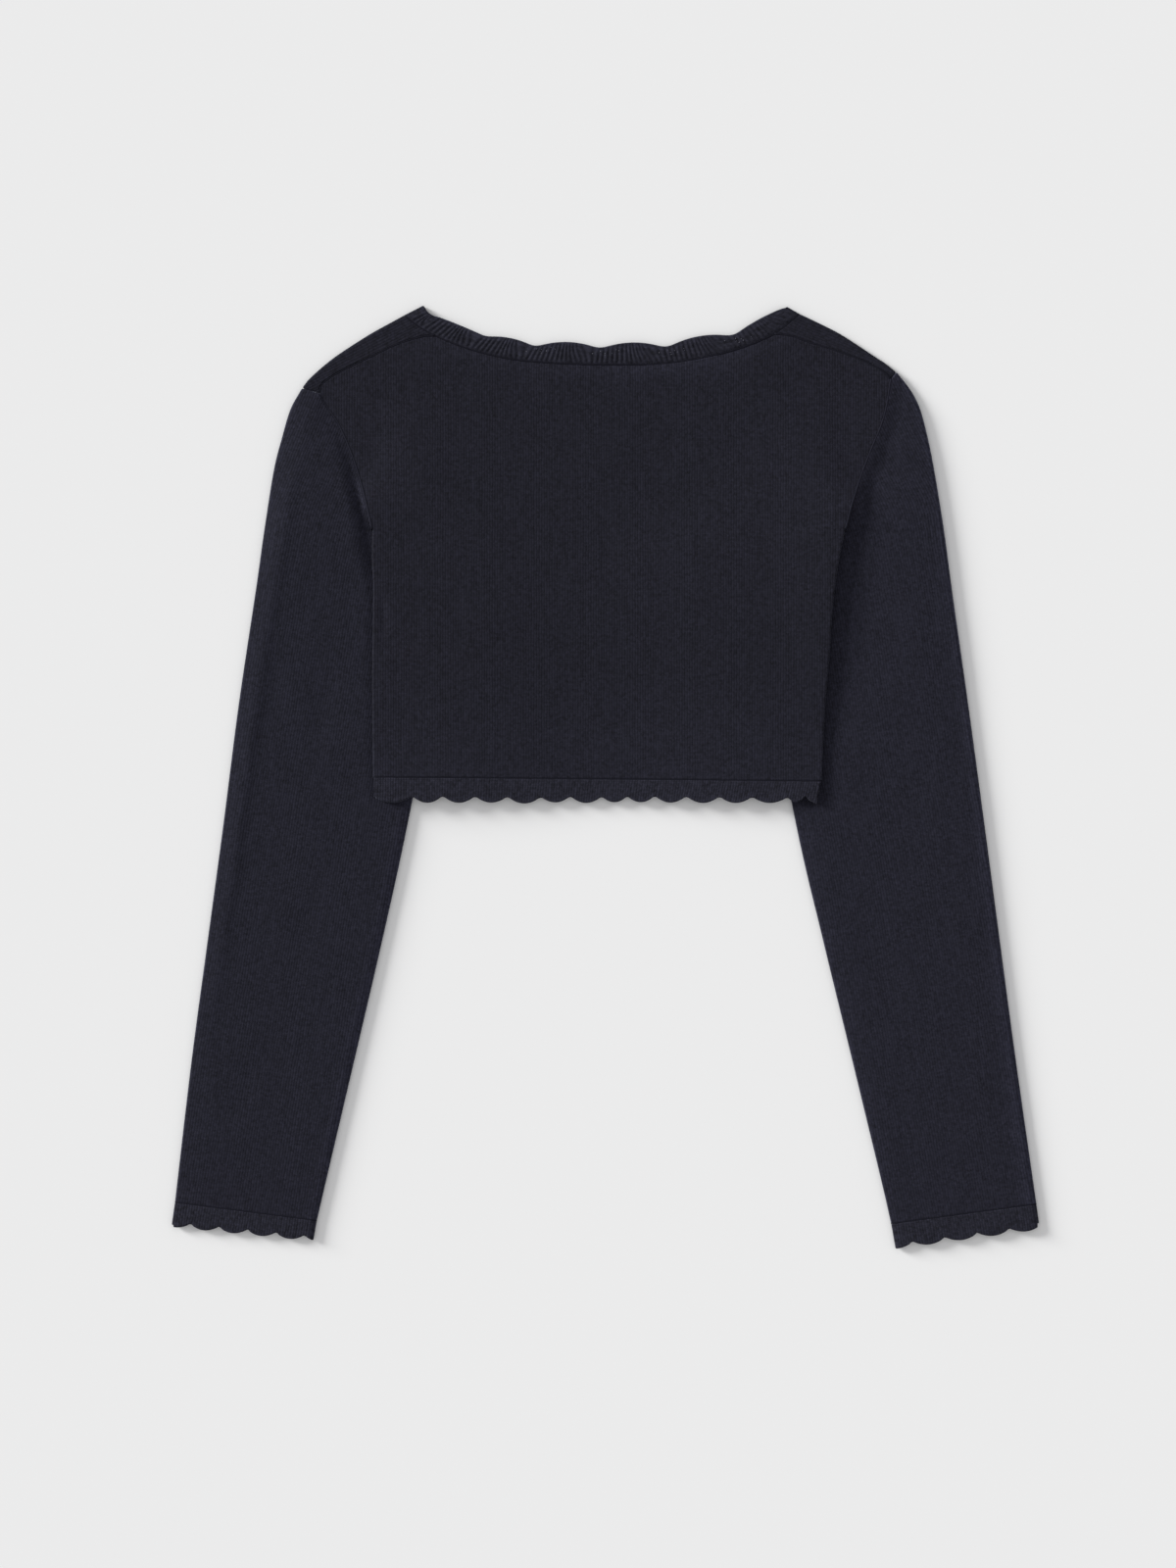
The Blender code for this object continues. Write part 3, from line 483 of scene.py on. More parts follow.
def inset_loop(points, gaps):
    """A closed loop drawn in by its own gap along each edge."""
    before = unit(points - np.roll(points, 1, axis=0))
    after = np.roll(before, -1, axis=0)
    ahead = np.roll(points, -1, axis=0)
    area = np.sum(points[:, 0] * ahead[:, 1] - ahead[:, 0] * points[:, 1])
    inward = 1 if area > 0 else -1
    normal_a = np.stack([-before[:, 1], before[:, 0]], axis=1) * inward
    normal_b = np.stack([-after[:, 1], after[:, 0]], axis=1) * inward
    gap_a, gap_b = np.roll(gaps, 1), np.asarray(gaps)
    turn = before[:, 0] * after[:, 1] - before[:, 1] * after[:, 0]
    even = (normal_a * gap_a[:, None] + normal_b * gap_b[:, None]) / 2
    safe = np.where(np.abs(turn) < STRAIGHT, 1.0, turn)
    meet = np.stack([gap_a * normal_b[:, 1] - gap_b * normal_a[:, 1],
                     gap_b * normal_a[:, 0] - gap_a * normal_b[:, 0]], axis=1) / safe[:, None]
    return points + np.where(np.abs(turn)[:, None] < STRAIGHT, even, meet)


def untangled(row):
    """A row of points, with those that its drawn-in corners went past put back in line."""
    run = row[-1] - row[0]
    far = (row - row[0]) @ run / (run @ run)
    kept = np.flatnonzero((far > 0) & (far < 1))
    places = np.concatenate([[0], kept, [len(row) - 1]])
    return read_at(np.arange(len(row)), places, row[places])


def drawn_in(near, side_b, far, side_a, gaps):
    """The four rows round a patch, each moved inwards by its gap.

    near and far run the same way, side_a joins their first points, side_b their last.
    """
    lines = [near, side_b, far[::-1], side_a[::-1]]
    starts = np.cumsum([0] + [len(line) - 1 for line in lines])
    loop = np.concatenate([line[:-1] for line in lines])
    edge_gaps = np.concatenate([np.full(len(line) - 1, gap) for line, gap in zip(lines, gaps)])
    loop = inset_loop(loop, edge_gaps)
    near, side_b, far, side_a = [untangled(loop[(start + np.arange(len(line))) % len(loop)])
                                 for start, line in zip(starts, lines)]
    return near, side_b, far[::-1], side_a[::-1]


def patch(rows_round, u, v):
    """Grid between four rows of points, read at shares u across and v along."""
    near, side_b, far, side_a = rows_round
    across = (1 - v)[..., None] * by_count(near, u) + v[..., None] * by_count(far, u)
    along = (1 - u)[..., None] * by_count(side_a, v) + u[..., None] * by_count(side_b, v)
    u, v = u[..., None], v[..., None]
    corners = ((1 - v) * ((1 - u) * near[0] + u * near[-1])
               + v * ((1 - u) * far[0] + u * far[-1]))
    return across + along - corners


def shares(steps, length):
    """Even shares of a length in millimetres, with extra ones close to both ends."""
    even = np.linspace(0, 1, steps + 1)
    near = np.array(EDGE_LINES) / length
    near = near[near < even[1] * EDGE_LINES_WITHIN]
    return np.sort(np.concatenate([even, near, 1 - near]))


def lobed_edge(start, lobes, outward, share):
    """Points on an edge of lobes; each lobe has an equal share of the whole."""
    ends = np.array([start] + [row[:2] for row in lobes], float)
    depth = np.array([row[2] for row in lobes])
    place = np.clip(share, 0, 1) * len(lobes)
    k = np.minimum(place.astype(int), len(lobes) - 1)
    t = place - k
    run = ends[k + 1] - ends[k]
    normal = unit(np.stack([-run[..., 1], run[..., 0]], axis=-1))
    return ends[k] + run * t[..., None] + normal * (outward * depth[k] * bulge(t))[..., None]


# ------------------------------------------------------------------ heights
def smooth_step(x):
    """From 0 to 1, level at both ends."""
    x = np.clip(x, 0.0, 1.0)
    return x * x * (3 - 2 * x)


def distance_to_line(points, line):
    """Shortest way from each point to a line of points."""
    a, run = line[:-1], np.diff(line, axis=0)
    square = np.maximum((run ** 2).sum(axis=1), TINY)
    flat = points.reshape(-1, 2)
    found = []
    for k in range(0, len(flat), BATCH):
        off = flat[k:k + BATCH, None] - a
        share = np.clip((off * run).sum(axis=2) / square, 0, 1)
        found.append(np.sqrt(((off - run * share[..., None]) ** 2).sum(axis=2).min(axis=1)))
    return np.concatenate(found).reshape(points.shape[:-1])


def inside(points, loop):
    """Whether each point lies in a closed loop of points."""
    a, b = loop, np.roll(loop, -1, axis=0)
    rise = np.where(b[:, 1] == a[:, 1], TINY, b[:, 1] - a[:, 1])
    flat = points.reshape(-1, 2)
    found = []
    for k in range(0, len(flat), BATCH):
        p = flat[k:k + BATCH, None]
        crosses = (a[:, 1] > p[..., 1]) != (b[:, 1] > p[..., 1])
        meets = a[:, 0] + (p[..., 1] - a[:, 1]) * (b[:, 0] - a[:, 0]) / rise
        found.append((crosses & (meets > p[..., 0])).sum(axis=1) % 2 == 1)
    return np.concatenate(found).reshape(points.shape[:-1])


def distance_to_region(points, loop):
    """Shortest way from each point to the area in a loop, none for those in it."""
    closed = np.vstack([loop, loop[:1]])
    return np.where(inside(points, loop), 0.0, distance_to_line(points, closed))


def prepare(side):
    """One side's smooth paths, and the loops round its tucked sleeve and its half of the body."""
    d = SIDES[side]
    paths = {key: Line(d[key]) for key in ("outer_edge", "inner_edge", "cap", "armhole",
                                           "body_edge", "shoulder_fold", "shoulder_seam")}
    paths["underarm"] = Line([d["armhole"][-1], d["inner_edge"][-1]])
    inner, edge = np.array(d["inner_edge"]), paths["body_edge"].points
    below_edge = [edge[-1][0], HEM_BOTTOM]
    inner_at_hem = [np.interp(HEM_BOTTOM, inner[:, 1], inner[:, 0]), HEM_BOTTOM]
    paths["tuck"] = np.vstack([edge, below_edge, inner_at_hem, inner[-1]])
    paths["body"] = np.vstack([paths["cap"].points, paths["armhole"].points, edge, below_edge,
                               [0, HEM_BOTTOM], [0, d["cap"][0][1]]])
    return paths


PLAN = {side: prepare(side) for side in SIDES}


def tuck_distance(p, side):
    """How far each point is from where the body is at its full rise over a sleeve."""
    return distance_to_region(p, PLAN[side]["tuck"]) - TUCK_MARGIN


def side_lift(p, side):
    """How far the body's side edge stands proud of the tucked sleeve."""
    lift = np.zeros(p.shape[:-1])
    for lift_side, y_from, y_to, height, fades_over in SIDE_LIFTS:
        if lift_side == side:
            along = np.sin(np.pi * np.clip((p[..., 1] - y_from) / (y_to - y_from), 0, 1))
            edge = np.vstack([PLAN[side]["armhole"].points, PLAN[side]["body_edge"].points])
            lift += height * along * smooth_step(1 - distance_to_line(p, edge) / fades_over)
    return lift


def front_height(p, side):
    """Middle height of a front, from the surface up over the tucked sleeve."""
    rise = TUCK_RISE * smooth_step(1 - tuck_distance(p, side) / FRONT_RAMP)
    return FLOOR_LAYER + rise + side_lift(p, side)


def back_rise(p):
    """How far the back stands above its usual layer over the tucked sleeves."""
    rise = np.zeros(p.shape[:-1])
    low, high = RAMP_SHORTENS
    inside_ramp = BACK_RAMP_INSIDE + (BACK_RAMP_HIGH - BACK_RAMP_INSIDE) * smooth_step(
        (p[..., 1] - low) / (high - low))
    for side in SIDES:
        from_seam = distance_to_line(p, PLAN[side]["armhole"].points)
        ramp = BACK_RAMP_AT_SEAM + (inside_ramp - BACK_RAMP_AT_SEAM) * smooth_step(
            from_seam / SEAM_BLEND)
        rise += TUCK_RISE * smooth_step(1 - tuck_distance(p, side) / ramp) + side_lift(p, side)
    return rise


def back_height(p):
    """Middle height of the back, and of the bands sewn to it."""
    gap = np.minimum(*[distance_to_line(p, line) for line in FRONT_FREE_EDGES])
    sag = np.where(inside(p, OPENING), SAG_SHARE * PITCH * smooth_step(gap / SAG_RAMP), 0.0)
    return TOP_LAYER + back_rise(p) - sag


def creased(p, piece):
    """Height that the listed small creases add to a piece."""
    change = np.zeros(p.shape[:-1])
    for name, x0, y0, x1, y1, half_width, depth in CREASES:
        if name == piece:
            start, run = np.array([x0, y0]), np.array([x1 - x0, y1 - y0])
            along = ((p - start) @ run) / (run @ run)
            across = ((p - start) @ np.array([-run[1], run[0]])) / np.linalg.norm(run)
            taper = np.where((along > 0) & (along < 1), np.sin(np.pi * np.clip(along, 0, 1)), 0)
            change -= depth * taper ** CREASE_TAPER * np.exp(-(across / half_width) ** 2)
    return change


def climb(x):
    """From 0 to 1, steep at first and level at the end."""
    return 1 - np.clip(1 - x, 0, 1) ** 2


def sleeve_height(p, side, across, along, width):
    """Middle height of a sleeve's upper layer, a width across from fold to fold."""
    plan = PLAN[side]
    from_body = distance_to_region(p, plan["body"])
    y, level = np.array(SLEEVE_LEVELS[side]).T
    outer, inner = ROUNDS_OVER[side]
    puff = np.interp(p[..., 1], y, level)
    puff = puff * climb(across * width / outer) * climb((1 - across) * width / inner)
    y, flat_for, drop, over = np.array(SLEEVE_TROUGHS[side]).T
    out = (from_body - np.interp(p[..., 1], y, flat_for)) / np.interp(p[..., 1], y, over)
    puff = np.maximum(puff - np.interp(p[..., 1], y, drop) * (1 - climb(out)), 0.0)
    for fold_side, middle, half_width, start, end, depth in SLEEVE_FOLDS:
        if fold_side == side:
            run = np.sin(np.pi * np.clip((along - start) / (end - start), 0, 1))
            puff = puff - depth * run * np.exp(-((across - middle) / half_width) ** 2)
    above_underarm = p[..., 1] - plan["armhole"].points[-1][1]
    lift = back_rise(p) * smooth_step(above_underarm / DIVE)
    lift = lift * smooth_step(1 - from_body / SEAM_LIFT_WIDTH[side])
    return TOP_LAYER + np.maximum(np.maximum(puff + creased(p, "sleeve_" + side), lift), 0.0)


# ------------------------------------------------------------------ shared seams
NECK = Line(NECK_SEAM)
HEM = Line(HEM_SEAM)


def neck_stretch(start_x, end_x, steps):
    """Points along the neck seam between two places across."""
    start, end = NECK.share_of_x(start_x), NECK.share_of_x(end_x)
    return NECK.at(np.linspace(start, end, steps + 1))


def seam_points(side):
    """Points that the pieces on each side of a seam share, before they are drawn in."""
    plan, neck_x = PLAN[side], NECK_END_X[side]
    shoulder = plan["shoulder_seam"].sampled(SHOULDER_STEPS)
    shoulder[0] = NECK.at_x(neck_x)
    return {
        "armhole": plan["armhole"].sampled(ARMHOLE_STEPS),
        "underarm": plan["underarm"].sampled(UNDERARM_STEPS),
        "body_edge": plan["body_edge"].sampled(SIDE_STEPS),
        "shoulder_seam": shoulder,
        "shoulder_fold": plan["shoulder_fold"].sampled(SHOULDER_STEPS),
        "neck_part": neck_stretch(neck_x, plan["shoulder_fold"].at(0)[0], NECK_PART_STEPS),
    }


SEAMS = {side: seam_points(side) for side in SIDES}


def fold_centre_at_neck(side):
    """Middle of the shoulder fold at the neck seam, on the seam's own run."""
    last, before = SEAMS[side]["neck_part"][-1], SEAMS[side]["neck_part"][-2]
    return last - unit(last - before) * FOLD_INSET


def fold_centre_at_cap(side):
    """Middle of the shoulder fold at the sleeve's cap."""
    point, inner = PLAN[side]["cap"].at(0), PLAN[side]["cap"].at(1)
    return point - unit(point - inner) * FOLD_INSET


UNDER_ROWS = 1 + ARMHOLE_STEPS + SIDE_STEPS


def front_edge_points(side):
    """Seam between a front and its band, from under the shoulder fold to the hem."""
    line = Line([fold_centre_at_neck(side)] + list(SIDES[side]["front_edge"]))
    return line.sampled(UNDER_ROWS)


FRONT_SEAM = {side: front_edge_points(side) for side in SIDES}


def front_free_points(side, share):
    """Free edge of a front band, lobed, from the shoulder tip to the hem."""
    seam, sign = FRONT_SEAM[side], SIDES[side]["sign"]
    run = unit(by_count(seam, share + FRONT_BAND_LOOK) - by_count(seam, share - FRONT_BAND_LOOK))
    inward = np.stack([run[..., 1], -run[..., 0]], axis=-1) * sign
    reach = FRONT_BAND_WIDTH + FRONT_BAND_RISE * bulge(share * FRONT_BAND_LOBES % 1.0)
    return by_count(seam, share) + inward * reach[..., None]


FRONT_FREE_EDGES = [front_free_points(side, np.linspace(0, 1, OPENING_STEPS + 1))
                    for side in SIDES]
OPENING = np.vstack([FRONT_FREE_EDGES[0], FRONT_FREE_EDGES[1][::-1]])


# ------------------------------------------------------------------ walls of cloth
MAP_JUMP = 10.0          # mm between neighbours on the knit map where its direction changes
NEVER = math.inf         # stands for a row or column that a grid doesn't reach


def raise_to(p, height):
    """Points in plan taken up to their heights."""
    return np.concatenate([p, np.broadcast_to(height, p.shape[:-1])[..., None]], axis=-1)


def folded(outline, direction):
    """Points that roll a layer over an edge, from the top one down to the floor one."""
    centre = outline - direction * FOLD_INSET
    ring = []
    for turn in np.linspace(math.pi / 2, -math.pi / 2, FOLD_STEPS + 1):
        flat = centre + direction * FOLD_RADIUS * math.cos(turn)
        ring.append(raise_to(flat, FOLD_CENTRE + FOLD_RADIUS * math.sin(turn)))
    return np.array(ring)


def grid_faces(rows, columns, closed):
    """Four-sided faces of a grid of points, with each one's row and column."""
    c = np.arange(columns if closed else columns - 1)
    a = (np.arange(rows - 1)[:, None] * columns + c).ravel()
    b = (np.arange(rows - 1)[:, None] * columns + (c + 1) % columns).ravel()
    return np.stack([a, b, b + columns, a + columns], axis=1), a // columns, a % columns


def free_edges(across, along, closed):
    """Loops of point numbers round a grid's free edges, each with the way out of the cloth."""
    number = np.arange(along[..., 0].size).reshape(along.shape[:2])
    if closed:
        return [(number[0], -along[0]), (number[-1][::-1], along[-1][::-1])]
    ring = np.concatenate([number[0, :-1], number[:-1, -1], number[-1, :0:-1], number[:0:-1, 0]])
    out = np.concatenate([-along[0, :-1], across[:-1, -1], along[-1, :0:-1], -across[:0:-1, 0]])
    return [(ring, out)]


def wall(name, middle, uv, finish, slot, closed=False, raised=0.0, other_uv=None,
         other_from=(NEVER, NEVER), drawn_out=0.0):
    """A closed thin shell on a grid of points on a wall's middle surface.

    Columns run across and rows along, so that their cross product points out of the
    cloth's right side. raised moves the right side's points out. other_uv holds for
    the faces from a given row or column on, where the knit's direction changes.
    """
    rows, columns = middle.shape[:2]
    if closed:
        wrapped = np.concatenate([middle[:, -1:], middle, middle[:, :1]], axis=1)
        across = np.gradient(wrapped, axis=1)[:, 1:-1]
    else:
        across = np.gradient(middle, axis=1)
    along = np.gradient(middle, axis=0)
    normal = unit(np.cross(across, along))
    raised = np.broadcast_to(raised, (rows, columns))[..., None]
    right = (middle + normal * (WALL / 2 + raised)).reshape(-1, 3)
    wrong = (middle - normal * WALL / 2).reshape(-1, 3)
    pale = np.broadcast_to(drawn_out, (rows, columns)).ravel()
    count = rows * columns

    # the cloth's right side and its wrong side
    base, other = uv.reshape(-1, 2), (uv if other_uv is None else other_uv).reshape(-1, 2)
    quads, face_row, face_column = grid_faces(rows, columns, closed)
    late = (face_row >= other_from[0]) | (face_column >= other_from[1])
    quad_uv = np.where(late[:, None, None], other[quads], base[quads])
    points, pales = [right, wrong], [pale, pale]
    faces, corner_uv = [quads, quads[:, ::-1] + count], [quad_uv, quad_uv[:, ::-1]]

    # and the rounded edges between them
    first_free = 2 * count
    for ring, out in free_edges(across, along, closed):
        outer, inner = right[ring], wrong[ring]
        centre, half = (outer + inner) / 2, (outer - inner) / 2
        out = unit(out) * np.linalg.norm(half, axis=1, keepdims=True)
        layers = [ring]
        for k in range(1, RIM_STEPS):
            turn = math.pi * k / RIM_STEPS
            points.append(centre + half * math.cos(turn) + out * math.sin(turn))
            pales.append(pale[ring])
            layers.append(first_free + np.arange(len(ring)))
            first_free += len(ring)
        layers.append(ring + count)
        ring_uv = base[ring]
        ahead_uv = np.roll(ring_uv, -1, axis=0)
        jump = np.abs(ahead_uv - ring_uv).max(axis=1) > MAP_JUMP
        ahead_uv = np.where(jump[:, None], ring_uv, ahead_uv)
        for upper, lower in zip(layers, layers[1:]):
            ahead, below = np.roll(upper, -1), np.roll(lower, -1)
            faces.append(np.stack([ahead, upper, lower, below], axis=1))
            corner_uv.append(np.stack([ahead_uv, ring_uv, ring_uv, ahead_uv], axis=1))
    piece = laid_piece(name, np.concatenate(points), np.concatenate(faces).tolist(), finish)
    map_knit(piece.data, np.concatenate(corner_uv), np.concatenate(pales))
    return piece


def mesh_object(name, points, faces, finish, smooth=True):
    """A mesh object from points in millimetres."""
    mesh = bpy.data.meshes.new(name)
    mesh.from_pydata(points * MM, [], faces)
    mesh.materials.append(finish)
    if smooth:
        mesh.shade_smooth()
    shape = bpy.data.objects.new(name, mesh)
    bpy.context.scene.collection.objects.link(shape)
    return shape


def laid_piece(name, points, faces, finish, smooth=True):
    """A mesh object that rides on the garment's one body."""
    piece = mesh_object(name, points, faces, finish, smooth)
    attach(piece, "root")
    return piece


def map_knit(mesh, corner_uv, drawn_out):
    """What the jersey finish reads: the knit map in mm, the cloth's tilt for its painted sheen,
    and its paler places with their painted light and shade.
    """
    layer = mesh.uv_layers.new(name="knit")
    layer.data.foreach_set("uv", corner_uv.astype(np.float32).ravel())
    normals = np.empty(3 * len(mesh.vertices))
    mesh.vertex_normals.foreach_get("vector", normals)
    tilt = np.linalg.norm(normals.reshape(-1, 3)[:, :2], axis=1)
    for attribute, values in (("tilt", tilt), ("drawn_out", drawn_out)):
        mesh.attributes.new(attribute, "FLOAT", "POINT").data.foreach_set("value", values)


def cloth(name, node, middle, uv, finish, slot, flat, rests_on, **more):
    """A wall that stands for a node, and hides that node's imported part; flat, its flat cut in
    metres, is not used.
    """
    piece = wall(name, middle, uv, finish, slot, **more)
    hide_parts(node)


# ------------------------------------------------------------------ finishes
# ---- how the knit is uneven; sizes in mm
WANDER = 0.9             # the loops wander by up to a third of this, as hand-laid knit does,
WANDER_SIZE = 9.09       # from one place to another this far away
LEG_SLANT = 1.3          # rows that a loop's leg spans from its column's middle, each wale across
STREAK_ACROSS = 2.38     # thick and thin yarn shows as streaks along the wales
STREAK_ALONG = 28.6
FLECK_SIZE = 1.613       # fibre ends and slubs of 0.02 to 0.2 mm are too fine to show, so they
                         # are drawn coarser, as flecks of about one stitch
CLOUD_SIZE = 14.29       # tight and loose places from washing and handling
UNEVEN = {               # how far each of these takes the tone
    "streak": 0.36,
    "fleck": 1.2,
    "cloud": 0.15,
    "stitch": 0.36,
}
TONE_BASE = 0.30         # painted shade: place between the deep colour and the face colour in a furrow, where shade falls,
LOOP_TOP_PAINTED_LIGHT = 0.34    # and painted light: how much nearer the face colour the lit top of a loop is drawn
FLECK_RELIEF = 0.6       # how much the flecks stand out, against the loops
PAINTED_SHEEN_FROM = 0.25        # painted sheen: the knit is drawn lighter where it is tilted more than this (a sine)
PAINTED_SHEEN_FULL = 0.85        # and lightest from here on


def linear(hex_colour):
    """sRGB hex to linear RGBA."""
    values = [int(hex_colour[k:k + 2], 16) / 255 for k in (1, 3, 5)]
    return tuple(v / 12.92 if v <= 0.04045 else ((v + 0.055) / 1.055) ** 2.4
                 for v in values) + (1.0,)


def per_metre(size):
    """Scale of a pattern of a size in mm, on coordinates in metres."""
    return 1 / (size * MM)


def put(tree, kind, values=(), links=(), **settings):
    """Adds a node with its settings, its sockets' values and what feeds its sockets.

    A node that is given to feed a socket does so by its first output.
    """
    node = tree.nodes.new("ShaderNode" + kind)
    for name, value in settings.items():
        setattr(node, name, value)
    for socket, value in dict(values).items():
        node.inputs[socket].default_value = value
    for socket, source in dict(links).items():
        if isinstance(source, bpy.types.Node):
            source = source.outputs[0]
        tree.links.new(source, node.inputs[socket])
    return node


def new_finish(name, values):
    """A material with its shader's values, its tree of nodes and its shader."""
    material = bpy.data.materials.new(name)
    material.use_nodes = True
    shader = material.node_tree.nodes["Principled BSDF"]
    for socket, value in values.items():
        shader.inputs[socket].default_value = value
    return material, material.node_tree, shader


def jersey(name, wale, deep, face, relief, loop_share, fold_painted_sheen, sheen):
    """Knitted cotton and viscose yarn: loops in columns, matt, with painted shade between the
    loops and a painted sheen at its folds.
    """
    # the fibres scatter the light, so the knit is matt; their ends give a pale, cool sheen
    material, tree, shader = new_finish(name, {
        "Roughness": 0.9,
        "IOR": 1.46,
        "Specular IOR Level": 0.15,
        "Sheen Weight": sheen,
        "Sheen Roughness": 0.3,
        "Sheen Tint": linear("#b8bccb"),
    })
    place = put(tree, "TexCoord").outputs["Object"]
    knit = put(tree, "UVMap", uv_map="knit")

    # the loops wander a little
    drift = put(tree, "TexNoise", {"Scale": per_metre(WANDER_SIZE), "Detail": 2.0},
                {"Vector": place})
    centred = put(tree, "VectorMath", {1: (-0.5, -0.5, -0.5)}, {0: drift.outputs["Color"]},
                  operation="ADD")
    shift = put(tree, "VectorMath", {"Scale": WANDER}, {0: centred}, operation="SCALE")
    moved = put(tree, "VectorMath", {}, {0: knit, 1: shift}, operation="ADD")
    split = put(tree, "SeparateXYZ", {}, {0: moved})
    across = put(tree, "Math", {1: wale}, {0: split.outputs["X"]}, operation="DIVIDE")
    along = put(tree, "Math", {1: COURSE}, {0: split.outputs["Y"]}, operation="DIVIDE")

    # one rounded column to each wale
    turn = put(tree, "Math", {1: 2 * math.pi}, {0: across}, operation="MULTIPLY")
    wave = put(tree, "Math", {}, {0: turn}, operation="COSINE")
    column = put(tree, "Math", {1: 0.5, 2: 0.5}, {0: wave}, operation="MULTIPLY_ADD")

    # the two legs of each loop slant up and outwards from the column's middle
    leg = put(tree, "Math", {1: 0.5}, {0: across}, operation="PINGPONG")
    row = put(tree, "Math", {1: -LEG_SLANT}, {0: leg, 2: along}, operation="MULTIPLY_ADD")
    beat = put(tree, "Math", {1: 2 * math.pi}, {0: row}, operation="MULTIPLY")
    beat_wave = put(tree, "Math", {}, {0: beat}, operation="COSINE")
    loops = put(tree, "Math", {1: 0.5 * loop_share, 2: 1 - 0.5 * loop_share}, {0: beat_wave},
                operation="MULTIPLY_ADD")
    height = put(tree, "Math", {}, {0: column, 1: loops}, operation="MULTIPLY")

    # uneven yarn: streaks along the wales, flecks, and tight and loose places
    stretch = put(tree, "VectorMath", {1: (1 / STREAK_ACROSS, 1 / STREAK_ALONG, 1.0)}, {0: knit},
                  operation="MULTIPLY")
    streak = put(tree, "TexNoise", {"Scale": 1.0, "Detail": 3.0, "Roughness": 0.65},
                 {"Vector": stretch})
    fleck = put(tree, "TexNoise",
                {"Scale": per_metre(FLECK_SIZE), "Detail": 3.0, "Roughness": 0.7},
                {"Vector": place})
    cloud = put(tree, "TexNoise",
                {"Scale": per_metre(CLOUD_SIZE), "Detail": 4.0, "Roughness": 0.6},
                {"Vector": place})
    # and each stitch takes the light a little differently from its neighbours
    wale_number = put(tree, "Math", {}, {0: across}, operation="ROUND")
    row_number = put(tree, "Math", {}, {0: row}, operation="ROUND")
    number = put(tree, "CombineXYZ", {}, {"X": wale_number, "Y": row_number})
    stitch = put(tree, "TexWhiteNoise", {}, {"Vector": number}, noise_dimensions="2D")
    uneven = None
    for source, kind in ((streak, "streak"), (fleck, "fleck"), (cloud, "cloud"),
                         (stitch, "stitch")):
        part = put(tree, "Math", {1: UNEVEN[kind], 2: -UNEVEN[kind] / 2}, {0: source},
                   operation="MULTIPLY_ADD")
        uneven = part if uneven is None else put(tree, "Math", {}, {0: uneven, 1: part},
                                                 operation="ADD")
    # painted shade in the furrows between the loops and painted light on their tops, with the
    # uneven yarn on top
    tone_with_painted_shade = put(tree, "Math", {1: LOOP_TOP_PAINTED_LIGHT}, {0: height, 2: uneven},
               operation="MULTIPLY_ADD")
    lifted = put(tree, "Math", {1: TONE_BASE}, {0: tone_with_painted_shade}, operation="ADD", use_clamp=True)
    colour = put(tree, "Mix", {6: linear(deep), 7: linear(face)}, {0: lifted}, data_type="RGBA")

    # painted sheen: the knit is drawn paler where the cloth turns over at a fold or an edge, where
    # its fibres catch the light
    tilt = put(tree, "Attribute", attribute_name="tilt")
    edge = put(tree, "MapRange", {"From Min": PAINTED_SHEEN_FROM, "From Max": PAINTED_SHEEN_FULL,
                                  "To Min": 1.0, "To Max": 1.0 + fold_painted_sheen},
               {"Value": tilt.outputs["Fac"]}, interpolation_type="SMOOTHSTEP")
    # and where it is marked paler or darker, so it is drawn: painted highlight at the sleeves'
    # folds, painted light by the back's hem, painted shade at its left side edge, paler by the
    # neck seam and along the neck band's border
    drawn = put(tree, "Attribute", attribute_name="drawn_out")
    paler_with_painted_light = put(tree, "Math", {1: 1.0}, {0: drawn.outputs["Fac"]}, operation="ADD")
    gain_with_painted_light = put(tree, "Math", {}, {0: edge, 1: paler_with_painted_light}, operation="MULTIPLY")
    colour_with_painted_light = put(tree, "VectorMath", {}, {0: colour.outputs[2], "Scale": gain_with_painted_light},
                  operation="SCALE")
    tree.links.new(colour_with_painted_light.outputs[0], shader.inputs["Base Color"])

    loft = put(tree, "Math", {1: FLECK_RELIEF}, {0: fleck, 2: height}, operation="MULTIPLY_ADD")
    bump = put(tree, "Bump", {"Strength": 1.0, "Distance": relief * MM}, {"Height": loft})
    tree.links.new(bump.outputs[0], shader.inputs["Normal"])
    return material


def plain_yarn(name, colour):
    """Dyed cotton yarn without a knit of its own: quite matt."""
    return new_finish(name, {
        "Base Color": linear(colour),
        "Roughness": 0.9,
        "Specular IOR Level": 0.1,
    })[0]


KNITS = (
    # The sleeves and bands get more painted sheen at their folds than the body, and the hems' and
    # cuffs' loops stand higher, since that knit is looser. deep is the colour drawn in the furrows
    # between loops, as painted shade, and face the colour drawn on the loops' lit tops; relief is
    # in mm;
    # loop_share is how much of the relief the loops take, against the columns; fold_painted_sheen
    # is how much paler the knit is drawn where it turns over, a painted sheen.
    # name, wale, deep, face, relief, loop_share, fold_painted_sheen, sheen
    ("navy_jersey_knit", WALE, "#0e0e14", "#252530", 0.08, 0.5, 0.0, 0.30),
    ("navy_sleeve_jersey_knit", WALE, "#0f0f16", "#282834", 0.08, 0.5, 0.45, 0.45),
    ("navy_rib_knit", RIB_PITCH, "#0f0f15", "#2a2a35", 0.08, 0.6, 0.15, 0.45),
    ("navy_scalloped_trim_knit", WALE, "#101016", "#2e2e3a", 0.14, 0.6, 0.2, 0.35),
)
JERSEY, SLEEVE, RIB, TRIM = (jersey(*row) for row in KNITS)
YARN_PAINTED_SHADE = plain_yarn("navy_linking_yarn_painted_shade", "#15151d")   # painted shade: drawn darker than the knit, for the shade in the seam's furrow
WELT = plain_yarn("navy_armhole_welt", "#1e1e27")   # the jersey's own tone: a rolled edge
